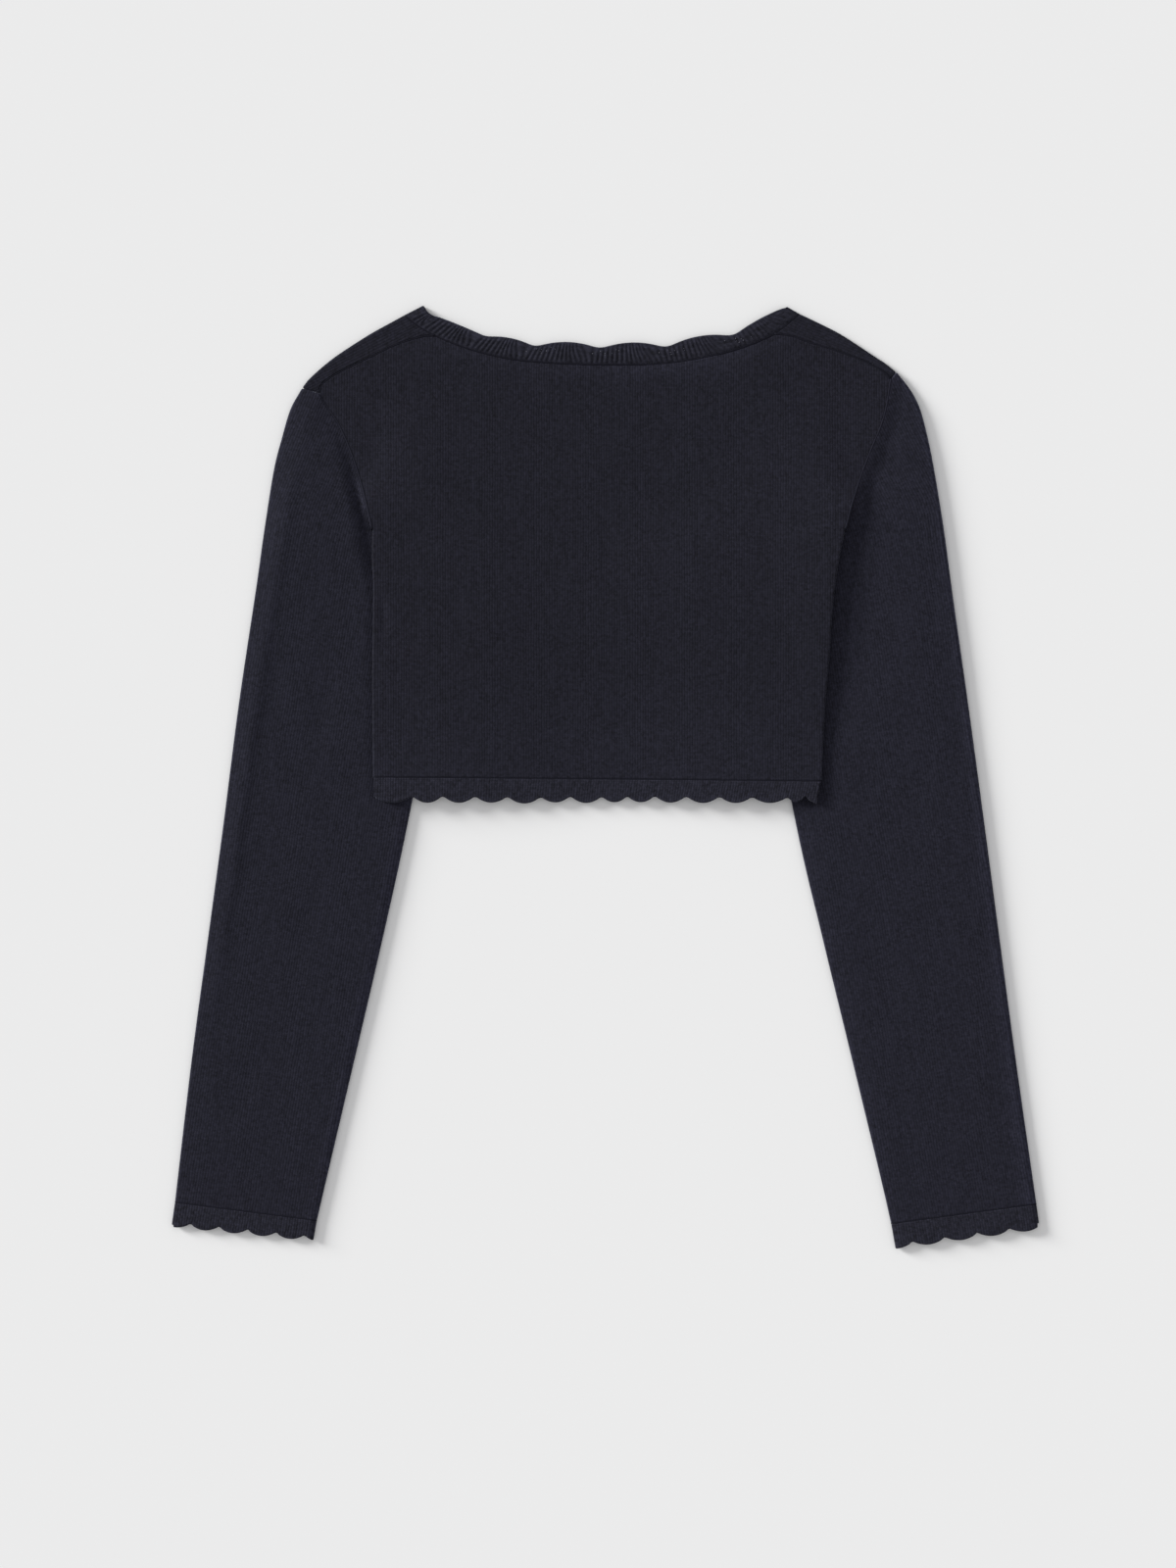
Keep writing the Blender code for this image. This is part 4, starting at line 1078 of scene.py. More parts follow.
OPEN_LOOPS_PAINTED_HIGHLIGHT = plain_yarn("loose_loops_painted_highlight", "#74747e")   # painted highlight: loose loops drawn pale where they catch the light


# ------------------------------------------------------------------ the pieces
def side_roll(p):
    """The back's side edges roll off like a fold: how far its right side sinks."""
    edge = np.minimum(*[distance_to_line(p, PLAN[side]["body_edge"].points) for side in SIDES])
    near = np.clip(1 - (edge - RIM) / SIDE_ROLL, 0, 1)
    return -SIDE_ROLL_DROP * (1 - np.sqrt(1 - near ** 2))


PALER_AND_PAINTED_LIGHT_BY_SEAMS = (
    # how much paler the back is beside a seam, and over what distance that fades: beside the hem
    # this is painted light, where the cloth rises into the light; along the left side edge it is
    # painted shade, drawn darker
    (HEM, 0.16, 65.0),
    (NECK, 0.19, 11.0),
    (Line([(8.0, 230.0), (40.0, 231.0), (72.0, 237.0)]), 0.20, 13.0),
    (PLAN["left"]["body_edge"], -0.14, 2.5),
)
NECK_DIP = 0.35          # the back sinks this much into the furrow of the neck seam
NECK_DIP_WIDTH = 5.0


def beside_seams(p):
    """How much paler the back is drawn beside its hem and neck seams, with painted light by the
    hem, and darker at its left side edge, with painted shade.
    """
    pale = np.zeros(p.shape[:-1])
    for seam, share, fades_over in PALER_AND_PAINTED_LIGHT_BY_SEAMS:
        pale += share * smooth_step(1 - distance_to_line(p, seam.points) / fades_over)
    return pale


def make_back():
    """Back panel, from the hem seam up to the neck and shoulder seams."""
    left, right = SEAMS["left"], SEAMS["right"]
    sides = [joined(part["body_edge"][::-1], part["armhole"][::-1]) for part in (left, right)]
    neck = neck_stretch(NECK_END_X["left"], NECK_END_X["right"], NECK_STEPS)
    top = joined(left["shoulder_seam"][::-1], neck, right["shoulder_seam"])
    hem = HEM.sampled(len(top) - 1)
    rows_round = drawn_in(hem, sides[1], top, sides[0], 4 * (SEAM_INSET,))
    u, v = np.meshgrid(shares(len(top) - 1, BODY_WIDTH), shares(len(sides[0]) - 1, BODY_HEIGHT))
    p = patch(rows_round, u, v)
    dip = NECK_DIP * np.exp(-distance_to_line(p, NECK.points) / NECK_DIP_WIDTH)
    middle = raise_to(p, back_height(p) + creased(p, "back"))
    cloth("back_jersey", "back", middle, p, JERSEY, "jersey_knit", flat=FLAT_BACK,
          rests_on=["front_left_jersey", "front_right_jersey"], raised=side_roll(p) - dip,
          drawn_out=beside_seams(p))


def make_front(side):
    """Front panel: strip behind the shoulder, the fold, then the layer underneath."""
    seams, plan = SEAMS[side], PLAN[side]
    gap = SEAM_INSET
    cap = plan["cap"].sampled(STRIP_ROWS)[::-1]
    strip_round = drawn_in(seams["shoulder_seam"], cap, seams["shoulder_fold"],
                           seams["neck_part"], (gap, gap, 0.0, gap))
    columns = shares(SHOULDER_STEPS, SHOULDER_WIDTH)
    seam_row, near_fold = np.zeros_like(columns), np.full_like(columns, NEAR_FOLD)
    ends = patch(strip_round, columns, np.ones_like(columns))
    outwards = unit(ends - patch(strip_round, columns, near_fold))
    width = np.linalg.norm(ends - patch(strip_round, columns, seam_row), axis=1)
    steps = shares(STRIP_ROWS, STRIP_DEPTH)[:-1]
    v = steps[:, None] * (1 - FOLD_INSET / width)
    u = np.broadcast_to(columns, v.shape)
    strip = raise_to(patch(strip_round, u, v), TOP_LAYER)
    fold = folded(ends, outwards)

    centres = fold[-1][:, :2].copy()
    near = Line(centres, smooth=False).sampled(SHOULDER_STEPS)
    near[0], near[-1] = fold_centre_at_neck(side), fold_centre_at_cap(side)
    arm_side = joined(np.array([near[-1], plan["cap"].at(1)]), seams["armhole"],
                      seams["body_edge"])
    start, end = FRONT_SEAM[side][-1], seams["body_edge"][-1]
    hem = HEM.at_x(np.linspace(start[0], end[0], SHOULDER_STEPS + 1))
    band_side = np.concatenate([FRONT_SEAM[side][:-1], hem[:1]])
    under_round = drawn_in(near, arm_side, hem, band_side, (0.0, gap, gap, gap))
    u, v = np.meshgrid(columns, shares(UNDER_ROWS, BODY_HEIGHT))
    under = patch(under_round, u, v)
    under[0] = centres
    ease = np.arange(1, EASE_ROWS + 1)
    fade = (1 - ease / (EASE_ROWS + 1))[:, None, None]
    under[ease] += (centres - patch(under_round, columns, seam_row)) * fade
    lower = raise_to(under, front_height(under, side))[1:]

    along = unit(plan["shoulder_seam"].points[-1] - plan["shoulder_seam"].points[0])
    upright = np.array([-along[1], along[0]])
    middle = np.concatenate([strip, fold, lower])
    flat = middle[..., :2]
    uv_strip = np.stack([flat @ upright, flat @ along], axis=-1)
    turn = len(strip) + FOLD_STEPS // 2
    order = slice(None, None, SIDES[side]["sign"])
    cloth(f"front_{side}_jersey", "front_" + side, middle[:, order], uv_strip[:, order], JERSEY,
          "jersey_knit", flat=FLAT_FRONT, rests_on=["floor"], other_uv=flat[:, order],
          other_from=(turn, NEVER))


def tube(along_frame, top, top_heights, ends, directions):
    """Rings of a flattened tube, and its knit map, from its upper layer's points.

    Each ring runs across the top, round one fold, back underneath, round the other.
    along_frame gives a point's place across and along the sleeve. The knit map turns back
    halfway round the inner fold, so there are two: one for the faces before that column,
    and one for the faces from it on.
    """
    (start, end), (out_a, out_b) = ends, directions
    upper = raise_to(top, top_heights)
    lower = raise_to(top[:, ::-1], FLOOR_LAYER)
    fold_b = folded(end, out_b)[1:-1].transpose(1, 0, 2)
    fold_a = folded(start, out_a)[::-1][1:-1].transpose(1, 0, 2)
    rings = np.concatenate([upper, fold_b, lower, fold_a], axis=1)
    place = along_frame(rings[..., :2])
    outer = along_frame(start[:, None])[..., 0]
    count, fold = top.shape[1], FOLD_STEPS - 1
    underneath = place.copy()
    underneath[..., 0] = 2 * outer - place[..., 0]
    half_inner = count + fold // 2
    half_outer = count + fold + half_inner
    before, after = place.copy(), place.copy()
    before[:, half_inner + 1:half_outer + 1] = underneath[:, half_inner + 1:half_outer + 1]
    after[:, half_inner:half_outer + 1] = underneath[:, half_inner:half_outer + 1]
    return rings, before, after, half_inner


def sleeve_frame(side):
    """Place across and along a sleeve, from its centre line, for the run of its wales."""
    plan = PLAN[side]
    steps = np.linspace(0, 1, SLEEVE_CENTRE_STEPS + 1)
    centre = Line((plan["outer_edge"].at(steps) + plan["inner_edge"].at(steps)) / 2, smooth=False)
    line, reach = centre.points, centre.reach
    tangent = unit(np.gradient(line, axis=0))

    def place(p):
        along = np.interp(p[..., 1], line[:, 1], reach)
        run = unit(read_at(along, reach, tangent))
        off = p - read_at(along, reach, line)
        over = (off * run).sum(axis=-1)
        sideways = off[..., 0] * run[..., 1] - off[..., 1] * run[..., 0]
        return np.stack([sideways * SIDES[side]["sign"], along + over], axis=-1)
    return place


def painted_edge_highlight(side, from_outer, from_inner):
    """How much painted highlight a flattened tube gets near its two folds, and painted light all
    over where it faces the light.
    """
    (outer, outer_width), (inner, inner_width) = EDGE_PAINTED_HIGHLIGHT[side]
    top = (SLEEVE_PAINTED_LIGHT[side] + outer * smooth_step(1 - from_outer / outer_width)
           + inner * smooth_step(1 - from_inner / inner_width))
    return round_tube(top, outer, inner)


def round_tube(top, at_outer, at_inner):
    """A value for every point of a tube's rings, from its values across the upper layer."""
    fold = np.ones((len(top), FOLD_STEPS - 1))
    return np.concatenate([top, fold * at_inner, top[:, ::-1], fold * at_outer], axis=1)


def lay_tube(name, node, side, rings, finish, slot, flat, paler_with_painted_light=0.0):
    """A flattened tube as a sheet of cloth; the right side's rings run the other way round."""
    middle, uv, late, turn = rings
    # the tube's painted highlight near its folds, and painted light all over, for each point of
    # its rings
    paler_with_painted_light = np.broadcast_to(paler_with_painted_light, middle.shape[:2])
    if side == "right":
        middle, uv, late, paler_with_painted_light = middle[:, ::-1], late[:, ::-1], uv[:, ::-1], paler_with_painted_light[:, ::-1]
        turn = middle.shape[1] - 1 - turn
    cloth(name, node, middle, uv, finish, slot, flat=flat, rests_on=["floor"], closed=True,
          other_uv=late, other_from=(NEVER, turn), drawn_out=paler_with_painted_light)


def make_sleeve(side):
    """Sleeve: a flattened tube from the cuff seam up to the armhole."""
    plan, seams = PLAN[side], SEAMS[side]
    arm = joined(plan["cap"].sampled(FINE), seams["armhole"], seams["underarm"])
    across = len(arm) - 1
    outer, inner = plan["outer_edge"].sampled(SLEEVE_ROWS), plan["inner_edge"].sampled(SLEEVE_ROWS)
    cuff = Line([outer[0], inner[0]]).sampled(across)
    rows_round = drawn_in(cuff, inner, arm, outer, (SEAM_INSET, 0.0, SEAM_INSET, 0.0))
    v = shares(SLEEVE_ROWS, SLEEVE_LENGTH)[:, None]
    start, near_start, near_end, end = (patch(rows_round, np.full_like(v, k), v)[:, 0]
                                        for k in (0.0, FOLD_LOOK, 1 - FOLD_LOOK, 1.0))
    out_a, out_b = unit(start - near_start), unit(end - near_end)
    width = np.linalg.norm(end - start, axis=1)[:, None]
    inset = FOLD_INSET / width
    even = np.linspace(0, 1, across + 1)
    u = inset + even * (1 - 2 * inset)
    top = patch(rows_round, u, np.broadcast_to(v, u.shape))
    heights = sleeve_height(top, side, even[None, :], v, width)
    heights[:, 0] = heights[:, -1] = TOP_LAYER
    rings = tube(sleeve_frame(side), top, heights, (start, end), (out_a, out_b))
    lay_tube(f"sleeve_{side}_jersey", "sleeve_" + side, side, rings, SLEEVE, "jersey_knit",
             FLAT_SLEEVE, painted_edge_highlight(side, u * width, (1 - u) * width))


def cuff_round(across, side):
    """How the cuff end of a sleeve rounds off towards its folds."""
    outer, inner = ROUNDS_OVER[side]
    width = np.linalg.norm(PLAN[side]["inner_edge"].at(0) - PLAN[side]["outer_edge"].at(0))
    return climb(across * width / outer) * climb((1 - across) * width / inner)


def make_cuff(side):
    """A short flattened tube whose free end is scalloped all the way round."""
    data, plan = SIDES[side], PLAN[side]
    seam_a, seam_b = plan["outer_edge"].at(0), plan["inner_edge"].at(0)
    free_a, free_b = (np.array(p) for p in data["cuff_free"])
    half_round = np.linalg.norm(seam_b - seam_a)
    pitch = 2 * half_round / data["cuff_lobes"]
    columns = data["cuff_lobes"] * LOBE_COLUMNS // 2
    run = unit(seam_b - seam_a)
    down = np.array([run[1], -run[0]]) * -data["sign"]
    share = shares(CUFF_ROWS, CUFF_DEPTH)[::-1, None]
    clear = down * SEAM_INSET * (1 - share)
    start = seam_a + (free_a - seam_a) * share + clear
    end = seam_b + (free_b - seam_b) * share + clear
    inset = FOLD_INSET / np.linalg.norm(end - start, axis=1)[:, None]
    even = np.linspace(0, 1, columns + 1)
    u = (inset + even * (1 - 2 * inset))[..., None]
    top = start[:, None] + (end - start)[:, None] * u
    puff = CUFF_PUFF * cuff_round(even, side)
    heights = TOP_LAYER + np.broadcast_to(puff, top.shape[:2])
    across = np.broadcast_to(run, start.shape)
    rings, uv, late, turn = tube(sleeve_frame(side), top, heights, (start, end),
                                 (-across, across))
    gone = np.clip(((rings[..., :2] - seam_a) * run).sum(axis=-1), 0, half_round)
    beneath = np.arange(rings.shape[1]) >= columns + 1 + FOLD_STEPS // 2
    gone = np.where(beneath, 2 * half_round - gone, gone)
    t = ((gone - data["first_valley"]) / pitch) % 1.0
    step = LOBE_STEP * (smooth_step(t / LOBE_STEP_OVER) - t)
    drop = (CUFF_LOBE_DROP * bulge(t) + step - RIM) * share ** 2
    hidden = np.sin(np.pi * np.clip((gone - half_round) / half_round, 0, 1))
    drop = drop - CUFF_UNDER_SHORT * hidden ** CUFF_UNDER_EVEN * beneath * share ** 2
    rings[..., :2] += down * drop[..., None]
    lay_tube(f"cuff_{side}_trim", "cuff_" + side, side, (rings, uv, late, turn), TRIM,
             "trim_knit", FLAT_CUFF)


NECK_LOBE_POINTS = 40    # points on each lobe of the neck band's edge
DIP_SOFTENING = 7        # and how many of them each way soften the dips


def neck_free_edge():
    """The neck band's free edge: broad lobes with the dips between them softened."""
    fine, reach = len(NECK_LOBES) * NECK_LOBE_POINTS, DIP_SOFTENING
    edge = lobed_edge(NECK_TIP, NECK_LOBES, 1.0, np.linspace(0, 1, fine + 1))
    padded = np.concatenate([2 * edge[0] - edge[reach:0:-1], edge,
                             2 * edge[-1] - edge[-2:-reach - 2:-1]])
    weights = np.hanning(2 * reach + 3)[1:-1]
    weights /= weights.sum()
    softened = np.stack([np.convolve(padded[:, k], weights, mode="valid") for k in (0, 1)], axis=1)
    return Line(softened, smooth=False)


NECK_FREE = neck_free_edge()


def neck_lobe_place(share):
    """How many lobes along the free edge a place is, from its share of length."""
    ends = np.array([NECK_TIP] + [lobe[:2] for lobe in NECK_LOBES])
    x = np.interp(share * NECK_FREE.length, NECK_FREE.reach, NECK_FREE.points[:, 0])
    return np.interp(x, ends[:, 0], np.arange(len(ends)))


def neck_band_points(share, rise):
    """Plan points of the neck band at shares along it and across it (0 seam, 1 free)."""
    a, b = NECK.at(share), NECK_FREE.at(share)
    out = unit(b - a)
    a, b = a + out * SEAM_INSET, b - out * RIM
    return a + (b - a) * rise[..., None]


def neck_band_fold(side, rise):
    """Rings that roll the band's end over the shoulder fold, for each row across it."""
    end, step = (0.0, NECK_STEP) if side == "left" else (1.0, 1 - NECK_STEP)
    ends = neck_band_points(np.full_like(rise, end), rise)
    steps = neck_band_points(np.full_like(rise, step), rise)
    runs = unit(ends - steps)
    return folded(ends, unit(runs + runs[0]))


def make_neck_band():
    """Ribbed band on the back neck, rolled over the shoulder fold at both tips."""
    rise = shares(NECK_BAND_ROWS, NECK_BAND_WIDTH)
    count = NECK_RIBS * RIB_COLUMNS
    along = np.linspace(0, 1, count + 1)
    along = along[(along > NECK_BAND_ENDS) & (along < 1 - NECK_BAND_ENDS)]
    share, across = np.meshgrid(along, rise)
    p = neck_band_points(share, across)
    flat_part = raise_to(p, back_height(p))
    folds = {side: neck_band_fold(side, rise).transpose(1, 0, 2) for side in SIDES}
    middle = np.concatenate([folds["left"][:, ::-1], flat_part, folds["right"]], axis=1)
    lobe = neck_lobe_place(share) % 1.0
    lean = np.clip((lobe - RIB_LEAN_FROM) / (1 - RIB_LEAN_FROM), 0, 1)
    lean = RIB_LEAN * np.sin(np.pi * lean) ** 2
    rib = 0.5 - 0.5 * np.cos(2 * np.pi * (share * NECK_RIBS + lean * across))
    fade = smooth_step(across / RIB_START) * smooth_step((1 - across) / NECK_BORDER)
    bead = NECK_BEAD * np.exp(-((1 - across) * NECK_BAND_WIDTH / NECK_BEAD_WIDTH) ** 2)
    fold = FOLD_STEPS + 1
    plain = np.zeros((len(rise), fold))
    raised = np.concatenate([plain, RIB_HEIGHT * rib ** RIB_FULLNESS * fade + bead, plain], axis=1)
    over = np.linspace(0.0, NECK_FOLD_SHARE, fold)
    along_all = np.concatenate([-over[::-1], along, 1 + over])
    u, v = np.meshgrid((along_all * NECK_RIBS + 0.5) * RIB_PITCH, rise * NECK_BAND_WIDTH)
    u[:, fold:-fold] += lean * across * RIB_PITCH
    border = smooth_step((rise[:, None] - NECK_PALER_FROM) / NECK_PALER_OVER)
    cloth("neck_band_rib", "neck_band", middle, np.stack([u, v], axis=-1), RIB, "rib_knit",
          flat=FLAT_NECK_BAND, rests_on=["front_left_jersey", "front_right_jersey"],
          raised=raised, drawn_out=NECK_BORDER_PALER * border)


def make_front_band(side):
    """Lobed band under the body, from the shoulder fold down the front edge."""
    seam = FRONT_SEAM[side]
    ends = neck_band_fold(side, np.array([0.0, 1.0]))[-1][:, :2]
    clear = unit(seam[1] - seam[0]) * (GAP + RIM)
    share = shares(BAND_COLUMNS, FRONT_BAND_LENGTH)
    slip = ends[1] + clear - front_free_points(side, np.zeros(1))[0]
    b = front_free_points(side, share) + slip * (1 - smooth_step(share / BAND_START))[:, None]
    a = by_count(seam, share)
    a[0] = ends[0] + clear
    out = unit(b - a)
    a, b = a + out * SEAM_INSET, b - out * RIM
    near_hem = smooth_step((share - (1 - BAND_END)) / BAND_END)[:, None]
    shorten = np.array([0.0, GAP + RIM]) * near_hem
    a, b = a + shorten, b + shorten
    rise = shares(BAND_ROWS, FRONT_BAND_WIDTH)[:, None, None]
    p = a + (b - a) * rise
    middle = raise_to(p, front_height(p, side))
    u, v = np.meshgrid(share * FRONT_BAND_LENGTH, rise[:, 0, 0] * FRONT_BAND_WIDTH)
    order = slice(None, None, SIDES[side]["sign"])
    cloth(f"front_band_{side}_rib", "front_band_" + side, middle[order],
          np.stack([u, v], axis=-1)[order], RIB, "rib_knit", flat=FLAT_FRONT_BAND,
          rests_on=["floor"])


def make_hem_band(name, node, lobes, start, seam_from, seam_to, height, rests_on, width,
                  bead_height=0.0):
    """Scalloped strip below the hem seam; its wales run with its own columns."""
    columns = shares(len(lobes) * LOBE_COLUMNS, width)
    reach = DIP_ROUNDING / len(lobes)
    low = sum(lobed_edge(start, lobes, -1.0, columns + shift) for shift in (-reach, 0, reach)) / 3
    low[:, 1] += HEM_DRAWN_UP
    share = (low[:, 0] - start[0]) / (lobes[-1][0] - start[0])
    high = HEM.at_x(seam_from + (seam_to - seam_from) * share)
    out = unit(low - high)
    high, low = high + out * SEAM_INSET, low - out * RIM
    rise = shares(HEM_ROWS, HEM_DEPTH)[::-1, None, None]
    p = high + (low - high) * rise
    p[:, 0, 0] += RIM
    p[:, -1, 0] -= RIM
    middle = raise_to(p, height(p))
    uv = np.stack([np.broadcast_to(high[:, 0], p.shape[:2]), p[..., 1]], axis=-1)
    bead = bead_height * np.exp(-((1 - rise[..., 0]) * HEM_DEPTH / HEM_BEAD_WIDTH) ** 2)
    cloth(name, node, middle, uv, TRIM, "trim_knit", flat=(width * MM, FLAT_HEM_DEPTH),
          rests_on=rests_on, raised=np.broadcast_to(bead, p.shape[:2]))


def make_hem_bands():
    """Hem bands of the back and of both fronts, whose lobes follow the back's."""
    left_x, right_x = HEM_SEAM[0][0], HEM_SEAM[-1][0]
    make_hem_band("hem_back_trim", "hem_band_back", HEM_LOBES, HEM_START, left_x, right_x,
                  back_height, ["hem_front_left_trim", "hem_front_right_trim"],
                  HEM_BACK_WIDTH, bead_height=HEM_BEAD)
    left_end = SIDES["left"]["front_edge"][-1][0] + FRONT_BAND_WIDTH
    right_end = SIDES["right"]["front_edge"][-1][0] - FRONT_BAND_WIDTH
    lobes = [(x, y, bulge - FRONT_HEM_SHORTER) for x, y, bulge in HEM_LOBES]
    peeping = (lobes[0][0], lobes[0][1], HEM_LOBES[0][2] + PEEPING_LOBE_DROP)
    left = [peeping] + [lobe for lobe in lobes[1:] if lobe[0] < left_end]
    left.append((left_end, lobes[len(left)][1], lobes[len(left)][2]))
    left_x += HALF_GAP
    make_hem_band("hem_front_left_trim", "hem_band_front_left", left, (left_x, HEM_START[1]),
                  left_x, left[-1][0], lambda p: front_height(p, "left"), ["floor"],
                  HEM_LEFT_WIDTH)
    right = [lobe for lobe in lobes[:-1] if lobe[0] > right_end + LEAST_LOBE]
    make_hem_band("hem_front_right_trim", "hem_band_front_right", right,
                  (right_end, HEM_START[1]), right_end, right_x - RIGHT_HEM_DRAWN_IN,
                  lambda p: front_height(p, "right"), ["floor"], HEM_RIGHT_WIDTH)


def tube_mesh(line, radius, sides):
    """Points and faces of a round yarn along a line of points."""
    run = unit(np.gradient(line, axis=0))
    level = [unit(np.cross(run[0], (0.0, 0.0, 1.0)))]
    for step in run[1:]:
        level.append(unit(level[-1] - step * (level[-1] @ step)))
    level = np.array(level)
    up = np.cross(level, run)
    turn = 2 * np.pi * np.arange(sides) / sides
    points = (line[:, None] + radius * (np.cos(turn)[:, None] * level[:, None]
                                        + np.sin(turn)[:, None] * up[:, None])).reshape(-1, 3)
    faces = []
    for k in range(len(line) - 1):
        for j in range(sides):
            a, b = k * sides + j, k * sides + (j + 1) % sides
            faces.append((b, a, a + sides, b + sides))
    faces.append(tuple(range(sides)))
    faces.append(tuple(range(len(points) - 1, len(points) - sides - 1, -1)))
    return points, faces


NECK_YARN_POINTS = 200
HEM_YARN_STEPS = 120
SEAM_YARN_POINTS = 60
CAP_YARN_STEPS = 8
NECK_YARN_LOOK = 0.01    # share of the neck seam over which its ends' run is read
BAND_YARN_FROM = 6       # the first point of a front band's seam that is clear of the fold
BARE = 2                 # points left bare at a seam's end, where a fold or another seam is


def seam_lines():
    """Where linking yarn fills a seam: lines of points at the walls' middle height."""
    share = np.linspace(NECK_BAND_ENDS, 1 - NECK_BAND_ENDS, NECK_YARN_POINTS)
    neck, hem = NECK.at(share), HEM.sampled(HEM_YARN_STEPS)
    over = []
    for end in (0.0, 1.0):
        tip, before = NECK.at([end]), NECK.at([abs(end - NECK_YARN_LOOK)])
        over.append(folded(tip, unit(tip - before))[:, 0])
    furrows = [np.concatenate([over[0][::-1], raise_to(neck, back_height(neck)), over[1]]),
               raise_to(hem, back_height(hem))]
    shoulders, armholes = [], []
    even = np.linspace(0, 1, SEAM_YARN_POINTS)
    for side in SIDES:
        plan, seams, front_seam = PLAN[side], SEAMS[side], FRONT_SEAM[side]
        armhole, shoulder = seams["armhole"], plan["shoulder_seam"].sampled(SEAM_YARN_POINTS)
        shoulders.append(raise_to(shoulder, back_height(shoulder)))
        armholes += [raise_to(armhole, back_height(armhole)),
                     raise_to(armhole, front_height(armhole, side))]

        cuff = np.linspace(plan["outer_edge"].at(0), plan["inner_edge"].at(0), SEAM_YARN_POINTS)
        run = unit(cuff[-1:] - cuff[:1])
        fold_b, fold_a = folded(cuff[-1:], run)[:, 0], folded(cuff[:1], -run)[::-1, 0]
        cuff, puff = cuff[BARE:-BARE], CUFF_PUFF * cuff_round(even, side)[BARE:-BARE]
        cuff_top, cuff_under = raise_to(cuff, TOP_LAYER + puff), raise_to(cuff[::-1], FLOOR_LAYER)
        cap, band = plan["cap"].sampled(CAP_YARN_STEPS)[1:], front_seam[BAND_YARN_FROM:-BARE]
        hem_x = np.linspace(front_seam[-1][0], seams["body_edge"][-1][0], SEAM_YARN_POINTS)
        front_hem = HEM.at_x(hem_x)[1:-1]
        furrows += [
            raise_to(cap, TOP_LAYER),
            np.concatenate([fold_a, cuff_top, fold_b, cuff_under, fold_a[:1]]),
            raise_to(front_hem, front_height(front_hem, side)),
            raise_to(band, front_height(band, side)),
        ]
    return {"furrows": furrows, "shoulders": shoulders, "armholes": armholes}


def make_seam_yarn(seams, lines, finish):
    """Linking yarn that closes seams, in the furrow between two pieces."""
    points, faces, count = [], [], 0
    for line in lines:
        stitch = np.arange(len(line))
        line = line + (0.0, 0.0, SEAM_YARN_LIFT[seams])
        uneven = sum(np.sin(wave * stitch) for wave in YARN_WAVES) / len(YARN_WAVES)
        line[:, 2] = np.maximum(line[:, 2] + YARN_UNEVEN * uneven, SEAM_YARN)
        more, its_faces = tube_mesh(line, SEAM_YARN, YARN_SIDES)
        faces += [tuple(k + count for k in face) for face in its_faces]
        points.append(more)
        count += len(more)
    laid_piece("linking_yarn_" + seams, np.concatenate(points), faces, finish)


OPEN_STITCHES = (
    # right and up from each dip of the neck band's edge
    (1.0, -1.1), (2.4, -2.5), (4.1, -1.3), (3.3, -3.5), (6.2, -2.2), (9.6, -0.2),
    (10.8, -1.0), (-4.6, -2.5),
)
OPEN_STITCH = 0.34       # radius of one
OPEN_STITCH_RISE = 0.16  # and how far it stands above the ribs
OPEN_STITCH_SIDES = 6
OPEN_STITCH_SLIP = 0.6   # each lies up to this far out of place, in its own way at each dip
SLIP_TURNS = (5.0, 2.3)  # by these turns a dip and a stitch, in radians
MIDDLE_DIPS = slice(2, 6)   # the dips that show them, on the middle of the back neck


def make_open_stitches():
    """Small loose loops beside the dips of the neck band, drawn pale as a painted highlight where
    they catch the light.
    """
    points, faces, sides = [], [], OPEN_STITCH_SIDES
    turn = np.linspace(0, 2 * np.pi, sides + 1)[:-1]
    for dip, (x, y, _) in enumerate(NECK_LOBES[MIDDLE_DIPS]):
        for k, (right, up) in enumerate(OPEN_STITCHES):
            slip = OPEN_STITCH_SLIP * math.sin(SLIP_TURNS[0] * dip + SLIP_TURNS[1] * k)
            place = np.array([x + right + slip, y + up - abs(slip) / 3])
            top = float(back_height(place)) + WALL / 2 + RIB_HEIGHT + OPEN_STITCH_RISE
            ring = np.stack([place[0] + OPEN_STITCH * np.cos(turn),
                             place[1] + OPEN_STITCH * np.sin(turn),
                             np.full(sides, top - 2 * OPEN_STITCH_RISE - RIB_HEIGHT)], axis=1)
            first = (sides + 1) * len(points)
            points.append(np.vstack([ring, [[*place, top]]]))
            faces += [(first + j, first + (j + 1) % sides, first + sides) for j in range(sides)]
            faces.append(tuple(first + j for j in range(sides - 1, -1, -1)))
    laid_piece("open_stitches", np.concatenate(points), faces, OPEN_LOOPS_PAINTED_HIGHLIGHT,
               smooth=False)


make_back()
make_neck_band()
for seam_kind, seam_kind_lines in seam_lines().items():
    make_seam_yarn(seam_kind, seam_kind_lines, WELT if seam_kind == "armholes" else YARN_PAINTED_SHADE)
make_open_stitches()
make_hem_bands()
for wearer_side in SIDES:
    make_front(wearer_side)
    make_front_band(wearer_side)
    make_sleeve(wearer_side)
    make_cuff(wearer_side)


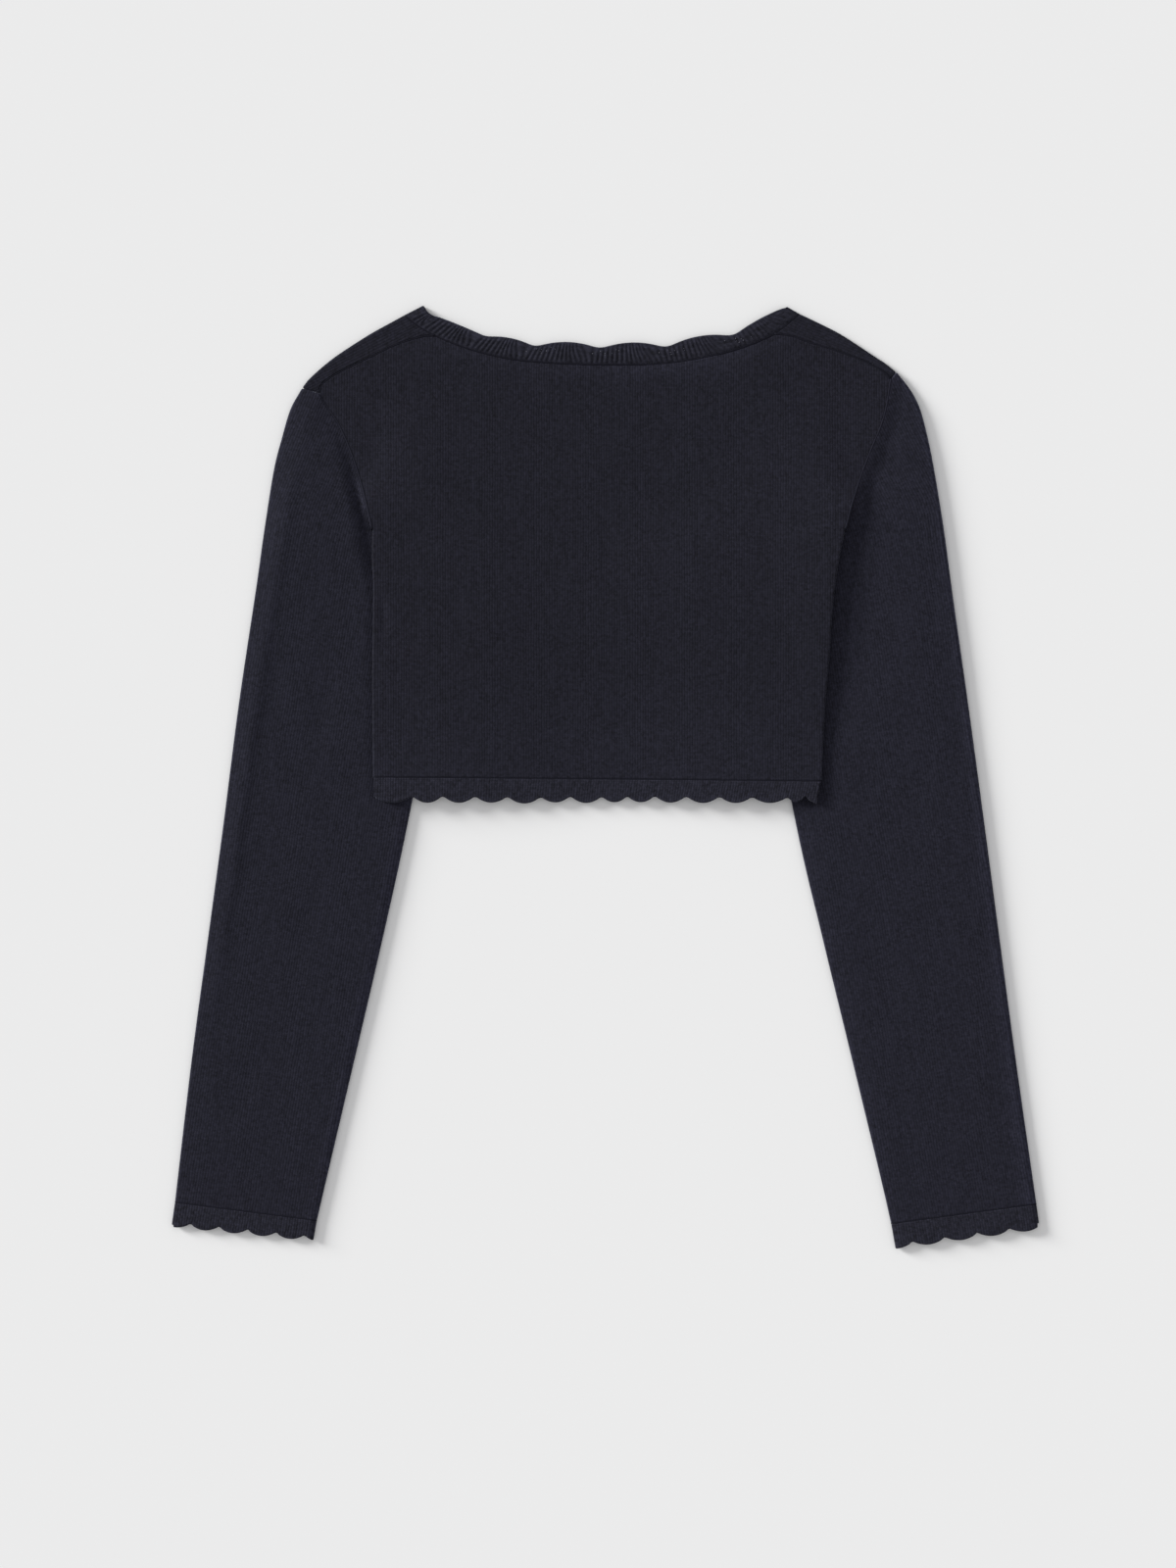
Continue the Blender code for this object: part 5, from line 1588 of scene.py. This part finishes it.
# ------------------------------------------------------------------ floor, light, camera
FLOOR_HALF = 6000.0      # large enough to pass for endless
FLOOR_DROP = 0.03        # just clear of the cloth, so that the two never share a plane
KEY_FROM = (-0.89, 0.46)  # the light comes from the upper left
KEY_ELEVATION = 14.5
KEY_SOFTNESS = 18.0      # degrees across the light's disc
KEY_STRENGTH = 5.2
FILL = 0.627
FILL_BLUE = 1.02         # the fill is a little cooler than the key
PHOTO_CENTRE = (-10.0, -4.7)   # the middle of the picture in the garment's frame
PICTURE_HEIGHT = 888.9         # at 18 pixels to the centimetre
CAMERA_HEIGHT = 2200.0
CAMERA_REACH = 20000.0
SENSOR = 36.0


def make_floor():
    """The board that the cardigan lies on."""
    # matt painted board: even and very pale, with no shine at all
    board = new_finish("pale_matt_board", {
        "Base Color": linear("#e7e7e6"),
        "Roughness": 0.95,
        "Specular IOR Level": 0.0,
    })[0]
    corners = np.array([(-1, -1), (1, -1), (1, 1), (-1, 1)]) * FLOOR_HALF
    floor = mesh_object("floor", raise_to(corners, -FLOOR_DROP), [(0, 1, 2, 3)], board,
                        smooth=False)


def make_light():
    """Low, soft daylight from a window, and the even light of the room."""
    key = bpy.data.lights.new("window_light", "SUN")
    key.energy = KEY_STRENGTH
    key.angle = math.radians(KEY_SOFTNESS)
    lamp = bpy.data.objects.new("window_light", key)
    low = math.radians(KEY_ELEVATION)
    towards = Vector((-KEY_FROM[0] * math.cos(low), -KEY_FROM[1] * math.cos(low), -math.sin(low)))
    lamp.rotation_euler = towards.to_track_quat("-Z", "Y").to_euler()
    bpy.context.scene.collection.objects.link(lamp)
    world = bpy.data.worlds.new("studio")
    world.use_nodes = True
    fill = (FILL, FILL, FILL * FILL_BLUE, 1)
    world.node_tree.nodes["Background"].inputs["Color"].default_value = fill
    bpy.context.scene.world = world
    bpy.context.scene.view_settings.view_transform = "Standard"


def make_camera():
    """Looks straight down, as the photo does."""
    data = bpy.data.cameras.new("camera")
    data.sensor_width = SENSOR
    data.lens = SENSOR * CAMERA_HEIGHT / PICTURE_HEIGHT
    data.clip_end = CAMERA_REACH * MM
    camera = bpy.data.objects.new("camera", data)
    camera.location = Vector((*PHOTO_CENTRE, CAMERA_HEIGHT)) * MM
    bpy.context.scene.collection.objects.link(camera)
    bpy.context.scene.camera = camera


make_floor()
make_light()
make_camera()
